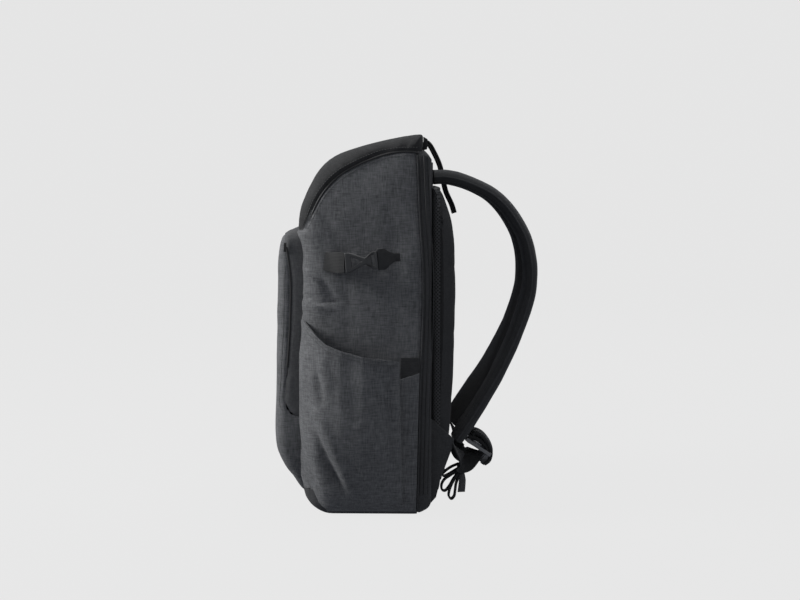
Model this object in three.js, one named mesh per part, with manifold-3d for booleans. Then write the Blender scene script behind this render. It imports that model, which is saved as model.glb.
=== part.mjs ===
// Camera backpack: a boxy padded bag with a zipped lid, a raised front pocket, bulging side
// pockets, a strap across one side, a ribbed back pad and two curved shoulder straps.
// Millimetres, +Z up. The bag's front looks along -Y, its back and straps along +Y, and +X is
// the wearer's right. The origin is the middle of the flat base, on the floor.

import * as THREE from 'three';
import { mergeVertices } from 'three/addons/utils/BufferGeometryUtils.js';
import Module from 'manifold-3d';

const wasm = await Module();
wasm.setup();

// Driving dimensions
const bagHeight = 456; // floor to the highest point of the lid
const bodyDepth = 161; // front panel to back panel
const bodyWidth = 280; // across the two side panels at the base
const frontShare = 0.547; // share of the depth that lies in front of the origin
const topNarrowing = 0.06; // share of the width lost between base and lid
const sideCrown = 5; // how far the side panels belly out
const edgeRadius = 28; // vertical front corners, other edges are shares of it
const bottomChamferHeight = 55; // the front panel turns in towards the base over this height
const bottomChamferDepth = 28;
const padding = 6; // padded cloth wall
const basePanel = 4; // dark base sheet
const cloth = 2; // pocket cloth
const gap = 0.3; // between neighbouring pieces

const frontPocketDepth = 31.5; // how far the front pocket stands out
const frontPocketWidth = 252;
const frontPocketEdge = 14; // rounding round its face
const sidePocketBulge = 25; // how far a side pocket stands off the side panel
const sidePocketStart = 5; // from the front panel to the side pocket's front edge

const padDepth = 30; // thickest place of the back pad
const padWidth = 236;
const padEdge = 22;
const channelWidth = 30; // air channel down the middle of the pad
const channelDepth = 10;
const channelFloor = 4; // foam left under the channel where the pad is thin
const yokeSheet = 2.5; // cloth panel that the shoulder straps are sewn to
const yokeWidth = 210;
const wingSheet = 3; // folded triangle at each lower back corner

const strapReach = 119; // how far the shoulder strap arcs out behind the yoke
const strapSpacing = 118; // between the two straps' middles
const strapWidth = 66;
const strapThickness = 16;
const handleWidth = 24;
const handleThickness = 5.5;
const pullLength = 11; // pull of the front pocket's zip
const pullWidth = 3;
const tabHeight = 16; // folded end of the lid's zip
const tabDepth = 5;

const webbingWidth = 25;
const webbingSheet = 1.6;
const lockLength = 36; // ladder lock at the strap's lower end
const lockWidth = 33;
const lockSheet = 4;
const sideStrapHeight = 26; // strap across the right side panel
const sideStrapBow = 20; // how far it stands off the panel
const hookSheet = 5;

const frontY = -frontShare * bodyDepth;
const backY = (1 - frontShare) * bodyDepth;
const strapRootY = backY + gap + yokeSheet + 2 * gap;

const charcoal = new THREE.MeshStandardMaterial({ color: 0x53555a, roughness: 0.95, metalness: 0 });
const blackCloth = new THREE.MeshStandardMaterial({ color: 0x242528, roughness: 0.9, metalness: 0 });
const airMesh = new THREE.MeshStandardMaterial({ color: 0x1f2124, roughness: 0.95, metalness: 0 });
const webbing = new THREE.MeshStandardMaterial({ color: 0x1c1d1f, roughness: 0.75, metalness: 0 });
const buckle = new THREE.MeshStandardMaterial({ color: 0x2a2b2d, roughness: 0.4, metalness: 0 });

// Manifold solids from and to three.js geometry
function solidOf(geometry) {
  let bare = geometry.clone();
  bare.deleteAttribute('normal');
  bare.deleteAttribute('uv');
  bare = mergeVertices(bare, 1e-4);
  return new wasm.Manifold(new wasm.Mesh({
    numProp: 3,
    vertProperties: new Float32Array(bare.attributes.position.array),
    triVerts: new Uint32Array(bare.index.array),
  }));
}

function geometryOf(solid) {
  const mesh = solid.getMesh();
  const geometry = new THREE.BufferGeometry();
  geometry.setAttribute('position', new THREE.BufferAttribute(new Float32Array(mesh.vertProperties), 3));
  geometry.setIndex(new THREE.BufferAttribute(new Uint32Array(mesh.triVerts), 1));
  return geometry;
}

function geometryFrom(points, triangles) {
  const geometry = new THREE.BufferGeometry();
  geometry.setAttribute('position', new THREE.Float32BufferAttribute(points.flat(), 3));
  geometry.setIndex(triangles.flat());
  return geometry;
}

// Outlines lie in the side view: x of a Vector2 is the bag's Y, y is its Z.
// A row's corner is rounded by a curve that starts and ends its soften length away, and long
// straight stretches are split so that the walls can bend between their ends.
function softOutline(rows, place, softUnit, longest = Infinity, steps = 3) {
  const corners = rows.map(row => place(row));
  const points = [];
  rows.forEach((row, i) => {
    const here = corners[i];
    const before = corners[(i + rows.length - 1) % rows.length];
    const after = corners[(i + 1) % rows.length];
    if (!row.soften) {
      points.push({ at: here, edge: row.edge ?? 1 });
      return;
    }
    const start = here.clone().add(before.clone().sub(here).setLength(row.soften * softUnit));
    const end = here.clone().add(after.clone().sub(here).setLength(row.soften * softUnit));
    new THREE.QuadraticBezierCurve(start, here, end).getPoints(steps)
      .forEach(at => points.push({ at, edge: row.edge ?? 1 }));
  });
  const split = points.flatMap((from, i) => {
    const to = points[(i + 1) % points.length];
    const parts = Math.max(1, Math.ceil(from.at.distanceTo(to.at) / longest));
    return Array.from({ length: parts }, (_, k) => ({
      at: from.at.clone().lerp(to.at, k / parts),
      edge: THREE.MathUtils.lerp(from.edge, to.edge, k / parts),
    }));
  });
  return THREE.ShapeUtils.isClockWise(split.map(point => point.at)) ? split.reverse() : split;
}

function prism(outline, x0, x1) {
  const geometry = new THREE.ExtrudeGeometry(new THREE.Shape(outline), { depth: x1 - x0, bevelEnabled: false });
  geometry.applyMatrix4(new THREE.Matrix4().makeBasis(
    new THREE.Vector3(0, 1, 0), new THREE.Vector3(0, 0, 1), new THREE.Vector3(1, 0, 0)));
  geometry.translate(x0, 0, 0);
  return solidOf(geometry);
}

function nearestOnSegment(p, a, b) {
  const along = b.clone().sub(a);
  const share = THREE.MathUtils.clamp(p.clone().sub(a).dot(along) / along.lengthSq(), 0, 1);
  return { at: a.clone().addScaledVector(along, share), share };
}

// How far a point lies inside an outline, and the edge rounding of the place nearest to it
function depthInside(outline, p) {
  let best = { distance: Infinity, edge: 1 };
  outline.forEach((from, i) => {
    const to = outline[(i + 1) % outline.length];
    const near = nearestOnSegment(p, from.at, to.at);
    const distance = near.at.distanceTo(p);
    if (distance < best.distance) {
      best = { distance, edge: THREE.MathUtils.lerp(from.edge, to.edge, near.share) };
    }
  });
  return best;
}

const narrowing = z => 1 - topNarrowing * THREE.MathUtils.clamp(z / bagHeight, 0, 1) ** 2;

// A pillow is an outline's solid with rounded edges and crowned sides. `reach` is the inset at
// which the crown is full, and `spine` the upright line that the inset rings close in on.
function pillowHalfWidth(pillow, p) {
  const { distance, edge } = depthInside(pillow.outline, p);
  const radius = edge * pillow.radius;
  const rounding = distance < radius ? radius - Math.sqrt(radius ** 2 - (radius - distance) ** 2) : 0;
  const rise = Math.min(distance / pillow.reach, 1);
  return pillow.halfWidth * narrowing(p.y) - rounding + pillow.crown * (1 - (1 - rise) ** 2);
}

function pillowSolid(pillow, edgeSteps = 4) {
  const { outline, spine, radius, reach } = pillow;
  const crownSteps = pillow.crown ? 2 : 0;
  const count = outline.length;
  const rings = [];
  for (let k = 0; k <= edgeSteps + crownSteps; k++) {
    rings.push(outline.map(({ at, edge }) => {
      const turn = Math.min(k / edgeSteps, 1) * Math.PI / 2;
      const round = edge * radius;
      const extra = k > edgeSteps ? (k - edgeSteps) / crownSteps : 0;
      const inset = round * (1 - Math.cos(turn)) + extra * (reach - round);
      const middle = nearestOnSegment(at, spine[0], spine[1]).at;
      const room = middle.distanceTo(at) * 0.9;
      return at.clone().lerp(middle, Math.min(inset, room) / middle.distanceTo(at));
    }));
  }
  const points = [];
  const putAt = (side, half, p) => points.push([side * half, p.x, p.y]) - 1;
  const place = side => rings.map((ring, k) => ring.map((p, i) => {
    const radiusHere = outline[i].edge * radius;
    const half = k === 0 ? pillow.halfWidth * narrowing(p.y) - radiusHere : pillowHalfWidth(pillow, p);
    return putAt(side, half, p);
  }));
  const right = place(1);
  const left = place(-1);
  const spineSteps = 4;
  const spinePoints = Array.from({ length: spineSteps + 1 }, (_, k) =>
    spine[0].clone().lerp(spine[1], k / spineSteps));
  const rightSpine = spinePoints.map(p => putAt(1, pillowHalfWidth(pillow, p), p));
  const leftSpine = spinePoints.map(p => putAt(-1, pillowHalfWidth(pillow, p), p));
  const onSpine = rings.at(-1).map(p => Math.round(nearestOnSegment(p, spine[0], spine[1]).share * spineSteps));
  const triangles = [];
  const strip = (inner, outer) => {
    for (let i = 0; i < count; i++) {
      const j = (i + 1) % count;
      triangles.push([inner[i], outer[i], outer[j]], [inner[i], outer[j], inner[j]]);
    }
  };
  strip(right[0], left[0]);
  for (let k = 0; k + 1 < rings.length; k++) {
    strip(right[k + 1], right[k]);
    strip(left[k], left[k + 1]);
  }
  // The last ring closes on the points along the spine
  onSpine.forEach((from, i) => {
    const j = (i + 1) % count;
    const step = Math.sign(onSpine[j] - from);
    triangles.push([rightSpine[from], right.at(-1)[i], right.at(-1)[j]]);
    triangles.push([leftSpine[from], left.at(-1)[j], left.at(-1)[i]]);
    for (let k = from; k !== onSpine[j]; k += step) {
      triangles.push([rightSpine[k], right.at(-1)[j], rightSpine[k + step]]);
      triangles.push([leftSpine[k], leftSpine[k + step], left.at(-1)[j]]);
    }
  });
  return solidOf(facedOut(geometryFrom(points, triangles)));
}

// Outlines may be drawn either way round, so a solid that came out inside out is turned
function facedOut(geometry) {
  const p = geometry.attributes.position;
  const index = geometry.index.array;
  let volume = 0;
  for (let i = 0; i < index.length; i += 3) {
    const [a, b, c] = [0, 1, 2].map(k => new THREE.Vector3().fromBufferAttribute(p, index[i + k]));
    volume += a.dot(b.cross(c));
  }
  if (volume < 0) {
    for (let i = 0; i < index.length; i += 3) [index[i], index[i + 1]] = [index[i + 1], index[i]];
  }
  return geometry;
}

// A pillow that lies a wall's thickness inside another
function hollowOf(pillow, wall) {
  const outline = pillow.outline.map(({ at, edge }) => {
    const middle = nearestOnSegment(at, pillow.spine[0], pillow.spine[1]).at;
    const lean = insetLean(pillow.outline, at, middle);
    return { at: at.clone().lerp(middle, wall / lean / middle.distanceTo(at)), edge };
  });
  return {
    ...pillow,
    outline,
    halfWidth: pillow.halfWidth - wall,
    radius: Math.max(pillow.radius - wall, wall),
  };
}

// Cosine between the way to the spine and the outline's own inward direction
function insetLean(outline, at, middle) {
  const reach = padding / 2;
  const probe = at.clone().lerp(middle, reach / middle.distanceTo(at));
  return Math.max(depthInside(outline, probe).distance / reach, 0.5);
}

// A sheet over a grid: `outer` and `inner` give a point for shares u, v from 0 to 1
function sheetSolid(us, vs, outer, inner) {
  const points = [];
  const layer = face => us.map(u => vs.map(v => {
    points.push(face(u, v));
    return points.length - 1;
  }));
  const top = layer(outer);
  const under = layer(inner);
  const triangles = [];
  const quad = (a, b, c, d) => triangles.push([a, b, c], [a, c, d]);
  const lastU = us.length - 1;
  const lastV = vs.length - 1;
  for (let i = 0; i < lastU; i++) {
    for (let j = 0; j < lastV; j++) {
      quad(top[i][j], top[i + 1][j], top[i + 1][j + 1], top[i][j + 1]);
      quad(under[i][j], under[i][j + 1], under[i + 1][j + 1], under[i + 1][j]);
    }
    quad(under[i][0], under[i + 1][0], top[i + 1][0], top[i][0]);
    quad(top[i][lastV], top[i + 1][lastV], under[i + 1][lastV], under[i][lastV]);
  }
  for (let j = 0; j < lastV; j++) {
    quad(top[0][j], top[0][j + 1], under[0][j + 1], under[0][j]);
    quad(under[lastU][j], under[lastU][j + 1], top[lastU][j + 1], top[lastU][j]);
  }
  return facedOut(geometryFrom(points, triangles));
}

// A strap swept along rows of { at, width, thick, turn }, smoothed between the rows.
// turn is in degrees about the strap's own run, 0 keeps its width along X.
function strapGeometry(rows, stepsPerRow, corner) {
  const spline = new THREE.CatmullRomCurve3(rows.map(row => row.at), false, 'centripetal');
  const total = (rows.length - 1) * stepsPerRow;
  const sections = [];
  for (let i = 0; i <= total; i++) {
    const share = i / total;
    const slot = Math.min(Math.floor(share * (rows.length - 1)), rows.length - 2);
    const within = share * (rows.length - 1) - slot;
    const mix = key => THREE.MathUtils.lerp(rows[slot][key], rows[slot + 1][key], within);
    const along = spline.getTangent(share);
    const across = new THREE.Vector3(1, 0, 0).addScaledVector(along, -along.x).normalize();
    across.applyAxisAngle(along, THREE.MathUtils.degToRad(mix('turn')));
    const normal = new THREE.Vector3().crossVectors(along, across);
    const centre = spline.getPoint(share);
    sections.push(roundedSection(mix('width'), mix('thick'), corner).map(({ x, y }) =>
      centre.clone().addScaledVector(across, x).addScaledVector(normal, y).toArray()));
  }
  const sides = sections[0].length;
  const triangles = [];
  for (let i = 0; i < total; i++) {
    for (let j = 0; j < sides; j++) {
      const [a, b] = [i * sides + j, i * sides + (j + 1) % sides];
      triangles.push([a, b, b + sides], [a, b + sides, a + sides]);
    }
  }
  const end = roundedSection(rows[0].width, rows[0].thick, corner);
  THREE.ShapeUtils.triangulateShape(end, []).forEach(([a, b, c]) => {
    triangles.push([a, c, b], [total * sides + a, total * sides + b, total * sides + c]);
  });
  return facedOut(geometryFrom(sections.flat(), triangles));
}

// A rectangle whose corners are cut by a share of its thickness, or left square at 0
function roundedSection(width, thick, corner) {
  const [w, t, c] = [width / 2, thick / 2, corner * thick];
  if (!corner) return [[-w, -t], [w, -t], [w, t], [-w, t]].map(([x, y]) => new THREE.Vector2(x, y));
  return [
    [-w + c, -t], [w - c, -t], [w, -t + c], [w, t - c], [w - c, t], [-w + c, t], [-w, t - c], [-w, -t + c],
  ].map(([x, y]) => new THREE.Vector2(x, y));
}

const inSideView = row => new THREE.Vector2(row.y * bodyDepth, row.z * bagHeight);

const chamfer = { y: bottomChamferDepth / bodyDepth, z: bottomChamferHeight / bagHeight };

// The bag's outline from the side. y and soften are shares of bodyDepth, z of bagHeight and
// edge of edgeRadius.
const bagOutline = softOutline([
  { y: -frontShare, z: chamfer.z, soften: 0.124, edge: 1.0 },
  { y: chamfer.y - frontShare, z: 0.000, soften: 0.087, edge: 0.5 },
  { y: 0.360, z: 0.000, soften: 0.040, edge: 0.4 },
  { y: 1 - frontShare, z: 0.020, soften: 0.050, edge: 0.36 },
  { y: 1 - frontShare, z: 0.958, soften: 0.025, edge: 0.36 },
  { y: 0.387, z: 0.958, soften: 0, edge: 0.36 },
  { y: 0.387, z: 1.003, soften: 0.025, edge: 0.43 },
  { y: 0.000, z: 0.975, soften: 0.124, edge: 0.64 },
  { y: -0.323, z: 0.939, soften: 0.155, edge: 0.71 },
  { y: -0.522, z: 0.829, soften: 0.155, edge: 0.86 },
  { y: -frontShare, z: 0.735, soften: 0.093, edge: 1.0 },
], inSideView, bodyDepth, bagHeight / 5);

const bag = {
  outline: bagOutline,
  spine: [inSideView({ y: -0.06, z: 0.14 }), inSideView({ y: -0.06, z: 0.86 })],
  halfWidth: bodyWidth / 2,
  radius: edgeRadius,
  crown: sideCrown,
  reach: bodyDepth * 0.42,
};

// The bag's outside with a clearance, to cut what is sewn on to it
function grownBag() {
  return pillowSolid({
    ...bag,
    outline: hollowOf(bag, -gap).outline,
    halfWidth: bag.halfWidth + gap,
    radius: bag.radius + gap,
  });
}

// Half of the bag's width at a place in the side view
const sideX = (y, z) => pillowHalfWidth(bag, new THREE.Vector2(y, z));

// Zip line along the lid's lower edge, and the seam where the side panels meet the black back
const lidLine = new THREE.SplineCurve([
  { y: -0.491, z: 0.748 }, { y: -0.460, z: 0.768 }, { y: -0.366, z: 0.838 }, { y: -0.211, z: 0.895 },
  { y: 0.050, z: 0.940 }, { y: 0.217, z: 0.952 }, { y: 0.389, z: 0.953 },
].map(inSideView)).getPoints(18);

const backSeam = new THREE.SplineCurve([
  { y: 0.342, z: -0.02 }, { y: 0.363, z: 0.307 }, { y: 0.388, z: 0.592 },
  { y: 0.360, z: 0.800 }, { y: 0.335, z: 1.02 },
].map(inSideView));

const seamY = z => backSeam.getPoint(THREE.MathUtils.clamp((z / bagHeight + 0.02) / 1.04, 0, 1)).x;

function bagCuts() {
  const far = bodyWidth; // the cuts reach past the bag on every side
  const [front, back] = [frontY - bodyDepth, backY + bodyDepth];
  const [top, bottom] = [bagHeight * 1.2, -bagHeight * 0.2];
  const above = [
    new THREE.Vector2(front, lidLine[0].y), ...lidLine,
    new THREE.Vector2(lidLine.at(-1).x, top), new THREE.Vector2(front, top),
  ];
  const behind = [
    ...backSeam.getPoints(12), new THREE.Vector2(back, top), new THREE.Vector2(back, bottom),
  ];
  const baseLift = [
    { y: -1.50, z: chamfer.z / 2 }, { y: chamfer.y / 2 - frontShare, z: chamfer.z / 2 },
    { y: chamfer.y + 0.021 - frontShare, z: basePanel / bagHeight }, { y: 1.40, z: basePanel / bagHeight },
  ].map(inSideView);
  const below = [new THREE.Vector2(front, bottom), new THREE.Vector2(back, bottom), ...baseLift.reverse()];
  return {
    lid: prism(above, -far, far),
    back: prism(behind, -far, far),
    base: prism(below, -far, far),
  };
}

function bagShells() {
  const outer = pillowSolid(bag);
  const inner = pillowSolid(hollowOf(bag, padding), 2);
  const cuts = bagCuts();
  const shell = outer.subtract(inner);
  const lidGrown = cuts.lid.translate(gap, 0, 0).translate(-gap, gap, -gap);
  const backGrown = cuts.back.translate(0, -gap, 0);
  const baseGrown = cuts.base.translate(0, gap, gap);
  const lid = shell.intersect(cuts.lid);
  const back = shell.intersect(cuts.back).subtract(lidGrown);
  const base = outer.intersect(cuts.base).subtract(backGrown);
  const floorLift = basePanel + gap;
  const liftedInner = inner.translate(0, 0, floorLift);
  const body = outer.subtract(inner.intersect(liftedInner))
    .subtract(lidGrown).subtract(backGrown).subtract(baseGrown);
  return { outer, lid, back, base, body };
}

// The front pocket's side view. y is a share of frontPocketDepth in front of the front panel.
const pocketView = row => new THREE.Vector2(frontY - row.y * frontPocketDepth, row.z * bagHeight);

const frontPocketView = (() => {
  const outline = softOutline([
    { y: -0.89, z: 0.037, soften: 0 },
    { y: -0.13, z: 0.037, soften: 0.3 },
    { y: 1.00, z: 0.145, soften: 0.65 },
    { y: 0.80, z: 0.757, soften: 0.45 },
    { y: -0.89, z: 0.757, soften: 0 },
  ], pocketView, frontPocketDepth, bagHeight / 4);
  return {
    outline,
    spine: [pocketView({ y: -0.5, z: 0.14 }), pocketView({ y: -0.5, z: 0.65 })],
    halfWidth: frontPocketWidth / 2,
    radius: frontPocketEdge,
    crown: 0,
    reach: frontPocketDepth,
  };
})();

function frontPocketSolids(bagGrown) {
  const shell = pillowSolid(frontPocketView)
    .subtract(pillowSolid(hollowOf(frontPocketView, cloth * 2), 2))
    .subtract(bagGrown);
  // The dark band runs down both sides and over the top, and ends in a round foot
  const band = softOutline([
    { y: -1.2, z: 0.257, soften: 0 },
    { y: 0.16, z: 0.257, soften: 0.25 },
    { y: 0.51, z: 0.290, soften: 0.25 },
    { y: 0.29, z: 0.471, soften: 0.9 },
    { y: 0.22, z: 0.640, soften: 0.9 },
    { y: 0.51, z: 0.732, soften: 0.3 },
    { y: 0.76, z: 0.790, soften: 0 },
    { y: -1.2, z: 0.790, soften: 0 },
  ], pocketView, frontPocketDepth).map(row => row.at);
  const bandPrism = prism(band, -bodyWidth, bodyWidth);
  return {
    face: shell.subtract(bandPrism.translate(0, -gap, -gap)),
    gusset: shell.intersect(bandPrism),
  };
}

// Side pocket: a row for each upright line from its front edge (0) to the back seam (1).
// top is a share of bagHeight and bulge of sidePocketBulge.
const pocketRows = [
  { across: 0.00, top: 0.513, bulge: 0.00 },
  { across: 0.05, top: 0.500, bulge: 0.26 },
  { across: 0.12, top: 0.482, bulge: 0.52 },
  { across: 0.22, top: 0.457, bulge: 0.80 },
  { across: 0.36, top: 0.441, bulge: 0.98 },
  { across: 0.53, top: 0.426, bulge: 1.00 },
  { across: 0.69, top: 0.419, bulge: 0.85 },
  { across: 0.80, top: 0.414, bulge: 0.58 },
  { across: 0.855, top: 0.410, bulge: 0.36 },
  { across: 0.870, top: 0.369, bulge: 0.06 },
  { across: 0.93, top: 0.371, bulge: 0.03 },
  { across: 1.00, top: 0.375, bulge: 0.00 },
];

// Folds in a side pocket, as lines between places in its own shares. width is a share of the
// pocket and depth of sidePocketBulge; a negative depth stands proud.
const pocketFolds = [
  { from: [0.02, 0.93], to: [0.34, 0.12], width: 0.035, depth: 0.14 },
  { from: [0.10, 0.70], to: [0.22, 0.28], width: 0.05, depth: -0.10 },
  { from: [0.30, 0.95], to: [0.46, 0.40], width: 0.04, depth: 0.08 },
  { from: [0.74, 0.98], to: [0.78, 0.25], width: 0.03, depth: 0.12 },
];

function rowValue(rows, at, key) {
  const next = Math.max(rows.findIndex(row => row.across >= at), 1);
  const [a, b] = [rows[next - 1], rows[next]];
  return THREE.MathUtils.mapLinear(at, a.across, b.across, a[key], b[key]);
}

function foldDepth(u, v) {
  return pocketFolds.reduce((sum, fold) => {
    const p = new THREE.Vector2(u, v);
    const near = nearestOnSegment(p, new THREE.Vector2(...fold.from), new THREE.Vector2(...fold.to)).at;
    return sum + fold.depth * Math.exp(-((near.distanceTo(p) / fold.width) ** 2));
  }, 0);
}

const pocketFoot = basePanel + 4 * gap; // lower edge of the side pockets
const elasticBand = { front: 0.262, low: 0.377, high: 0.417 }; // shares of bodyDepth and bagHeight

function pocketPlace(u, v) {
  const top = rowValue(pocketRows, u, 'top') * bagHeight;
  const z = THREE.MathUtils.lerp(pocketFoot, top, v);
  const turnIn = Math.max(0, 1 - z / bottomChamferHeight) * bottomChamferDepth;
  const front = frontY + sidePocketStart + turnIn;
  const rear = seamY(z) - 4 * gap;
  return [THREE.MathUtils.lerp(front, rear, u), z];
}

function sidePocketSolid(side, bagGrown) {
  const us = pocketRows.flatMap((row, i) => {
    const next = pocketRows[i + 1];
    if (!next) return [row.across];
    const parts = next.across - row.across > 0.05 ? 2 : 1;
    return Array.from({ length: parts }, (_, k) => THREE.MathUtils.lerp(row.across, next.across, k / parts));
  });
  const vs = Array.from({ length: 11 }, (_, j) => j / 10);
  const fullness = v => Math.sin(Math.min(v * 1.9, 1) * Math.PI / 2) * (1 - 0.16 * Math.max(0, v - 0.55) / 0.45);
  const face = lift => (u, v) => {
    const [y, z] = pocketPlace(u, v);
    const full = rowValue(pocketRows, u, 'bulge') * fullness(v);
    const fold = foldDepth(u, v) * Math.min(1, full * 1.5);
    return [side * (sideX(y, z) + 2 * gap + lift + (full - fold) * sidePocketBulge), y, z];
  };
  return solidOf(sheetSolid(us, vs, face(cloth), face(0))).subtract(bagGrown);
}

function elasticGeometry(side) {
  const shares = [0, 0.5, 1];
  const face = lift => (u, v) => {
    const z = THREE.MathUtils.lerp(elasticBand.low, elasticBand.high, v) * bagHeight;
    const y = THREE.MathUtils.lerp(elasticBand.front * bodyDepth, seamY(z) - 4 * gap, u);
    return [side * (sideX(y, z) + gap + lift), y, z];
  };
  return sheetSolid(shares, shares, face(cloth / 2), face(0));
}

const yokeBand = { low: 0.866, high: 0.938 }; // shares of bagHeight

// The back pad's side view: y is a share of padDepth behind the back panel
const padView = row => new THREE.Vector2(backY + gap + row.y * padDepth, row.z * bagHeight);

function backPadSolid() {
  const outline = softOutline([
    { y: 0.00, z: 0.050, soften: 0, edge: 0.3 },
    { y: 0.28, z: 0.050, soften: 0.15, edge: 0.6 },
    { y: 0.78, z: 0.215, soften: 0.9, edge: 1 },
    { y: 0.99, z: 0.526, soften: 2.0, edge: 1 },
    { y: 0.92, z: 0.757, soften: 0.75, edge: 1 },
    { y: 0.33, z: 0.861, soften: 0.1, edge: 0.6 },
    { y: 0.00, z: 0.861, soften: 0, edge: 0.3 },
  ], padView, padDepth, bagHeight / 4);
  const pad = pillowSolid({
    outline,
    spine: [padView({ y: 0.1, z: 0.15 }), padView({ y: 0.1, z: 0.75 })],
    halfWidth: padWidth / 2,
    radius: padEdge,
    crown: 0,
    reach: padDepth,
  });
  const lowered = pad.translate(0, -channelDepth, 0);
  const lane = slab(backY + gap + channelFloor, backY + padDepth * 2, -1, bagHeight, channelWidth);
  return pad.subtract(lane.subtract(lowered));
}

// Upright block behind the bag, across its middle
function slab(y0, y1, z0, z1, width) {
  const corners = [[y0, z0], [y1, z0], [y1, z1], [y0, z1]].map(([y, z]) => new THREE.Vector2(y, z));
  return prism(corners, -width / 2, width / 2);
}

function yokeGeometry() {
  const front = backY + gap;
  return geometryOf(slab(front, front + yokeSheet, yokeBand.low * bagHeight, yokeBand.high * bagHeight, yokeWidth));
}

// Folded triangle that ties the lower webbing to the bag's back corner
function wingGeometry(side) {
  const outline = [
    { y: 0.00, z: 0.020 }, { y: 0.22, z: 0.040 }, { y: 0.37, z: 0.090 }, { y: 0.78, z: 0.180 },
    { y: 0.80, z: 0.196 }, { y: 0.17, z: 0.243 }, { y: 0.00, z: 0.252 },
  ].map(padView);
  const inside = padWidth / 2 + gap;
  return side > 0
    ? geometryOf(prism(outline, inside, inside + wingSheet))
    : geometryOf(prism(outline, -inside - wingSheet, -inside));
}

// Shoulder strap from the yoke down to its lower end. y is a share of strapReach behind the
// yoke, z of bagHeight and thick of strapThickness. flare, in degrees, turns the strap's outer
// edge towards the bag: all of it on the left strap, a little on the right one.
const strapRows = [
  { y: 0.000, z: 0.886, thick: 1.10, flare: 0 },
  { y: 0.105, z: 0.887, thick: 1.10, flare: 0 },
  { y: 0.240, z: 0.881, thick: 1.06, flare: 0 },
  { y: 0.425, z: 0.864, thick: 1.00, flare: 0 },
  { y: 0.605, z: 0.839, thick: 1.00, flare: 0 },
  { y: 0.742, z: 0.806, thick: 1.00, flare: 0 },
  { y: 0.852, z: 0.766, thick: 1.00, flare: 0 },
  { y: 0.942, z: 0.719, thick: 1.00, flare: 0 },
  { y: 0.990, z: 0.665, thick: 1.00, flare: 0 },
  { y: 1.000, z: 0.622, thick: 1.00, flare: 0 },
  { y: 0.988, z: 0.580, thick: 1.00, flare: 0 },
  { y: 0.942, z: 0.534, thick: 1.00, flare: 0 },
  { y: 0.862, z: 0.473, thick: 1.00, flare: 0 },
  { y: 0.778, z: 0.420, thick: 1.00, flare: 4 },
  { y: 0.650, z: 0.348, thick: 1.00, flare: 10 },
  { y: 0.512, z: 0.281, thick: 1.00, flare: 16 },
  { y: 0.370, z: 0.215, thick: 1.00, flare: 17 },
  { y: 0.255, z: 0.162, thick: 0.90, flare: 17 },
];

const flareOf = (side, flare) => (side < 0 ? -flare : 0.2 * flare);

function shoulderStrapGeometry(side) {
  const rows = strapRows.map(row => ({
    at: new THREE.Vector3(side * strapSpacing / 2, strapRootY + row.y * strapReach, row.z * bagHeight),
    width: strapWidth,
    thick: row.thick * strapThickness,
    turn: flareOf(side, row.flare),
  }));
  return strapGeometry(rows, 1, 0.3);
}

function handleGeometry() {
  const lidBackY = lidLine.at(-1).x;
  const rows = [
    { y: 0.015, z: 0.985, thick: 1.5 }, { y: 0.054, z: 0.977, thick: 1.3 }, { y: 0.096, z: 0.953, thick: 1 },
    { y: 0.140, z: 0.918, thick: 1 }, { y: 0.165, z: 0.880, thick: 1 }, { y: 0.190, z: 0.845, thick: 1 },
    { y: 0.235, z: 0.810, thick: 1 }, { y: 0.255, z: 0.787, thick: 1.1 },
  ].map(row => ({
    at: new THREE.Vector3(0, lidBackY + row.y * bodyDepth, row.z * bagHeight),
    width: handleWidth,
    thick: row.thick * handleThickness,
    turn: 0,
  }));
  return strapGeometry(rows, 2, 0);
}

// Strap across the right side panel, from a sewn end near the front to a hook and an elastic.
// across is the share of its run, rise of its bow, height of sideStrapHeight.
const sideStrapRun = { from: -0.335, to: 0.217, z: 0.662 };
const sideStrapRows = {
  front: [
    { across: 0.00, rise: 0.00, height: 1.08 }, { across: 0.08, rise: 0.20, height: 1.04 },
    { across: 0.20, rise: 0.72, height: 0.96 }, { across: 0.27, rise: 0.93, height: 0.90 },
  ],
  back: [
    { across: 0.71, rise: 0.93, height: 0.95 }, { across: 0.80, rise: 0.62, height: 0.95 },
    { across: 0.86, rise: 0.38, height: 0.62 }, { across: 0.93, rise: 0.10, height: 0.38 },
    { across: 1.00, rise: 0.00, height: 0.38 },
  ],
};

function sideStrapPlace({ across, rise }, lift = 0) {
  const y = THREE.MathUtils.lerp(sideStrapRun.from, sideStrapRun.to, across) * bodyDepth;
  const z = (sideStrapRun.z + 0.018 * across) * bagHeight;
  return new THREE.Vector3(sideX(y, z) + 2 * gap + webbingSheet / 2 + rise * sideStrapBow + lift, y, z);
}

function sideStrapGeometry(rows) {
  return strapGeometry(rows.map(row => ({
    at: sideStrapPlace(row), width: row.height * sideStrapHeight, thick: webbingSheet, turn: 90,
  })), 2, 0);
}

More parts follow.
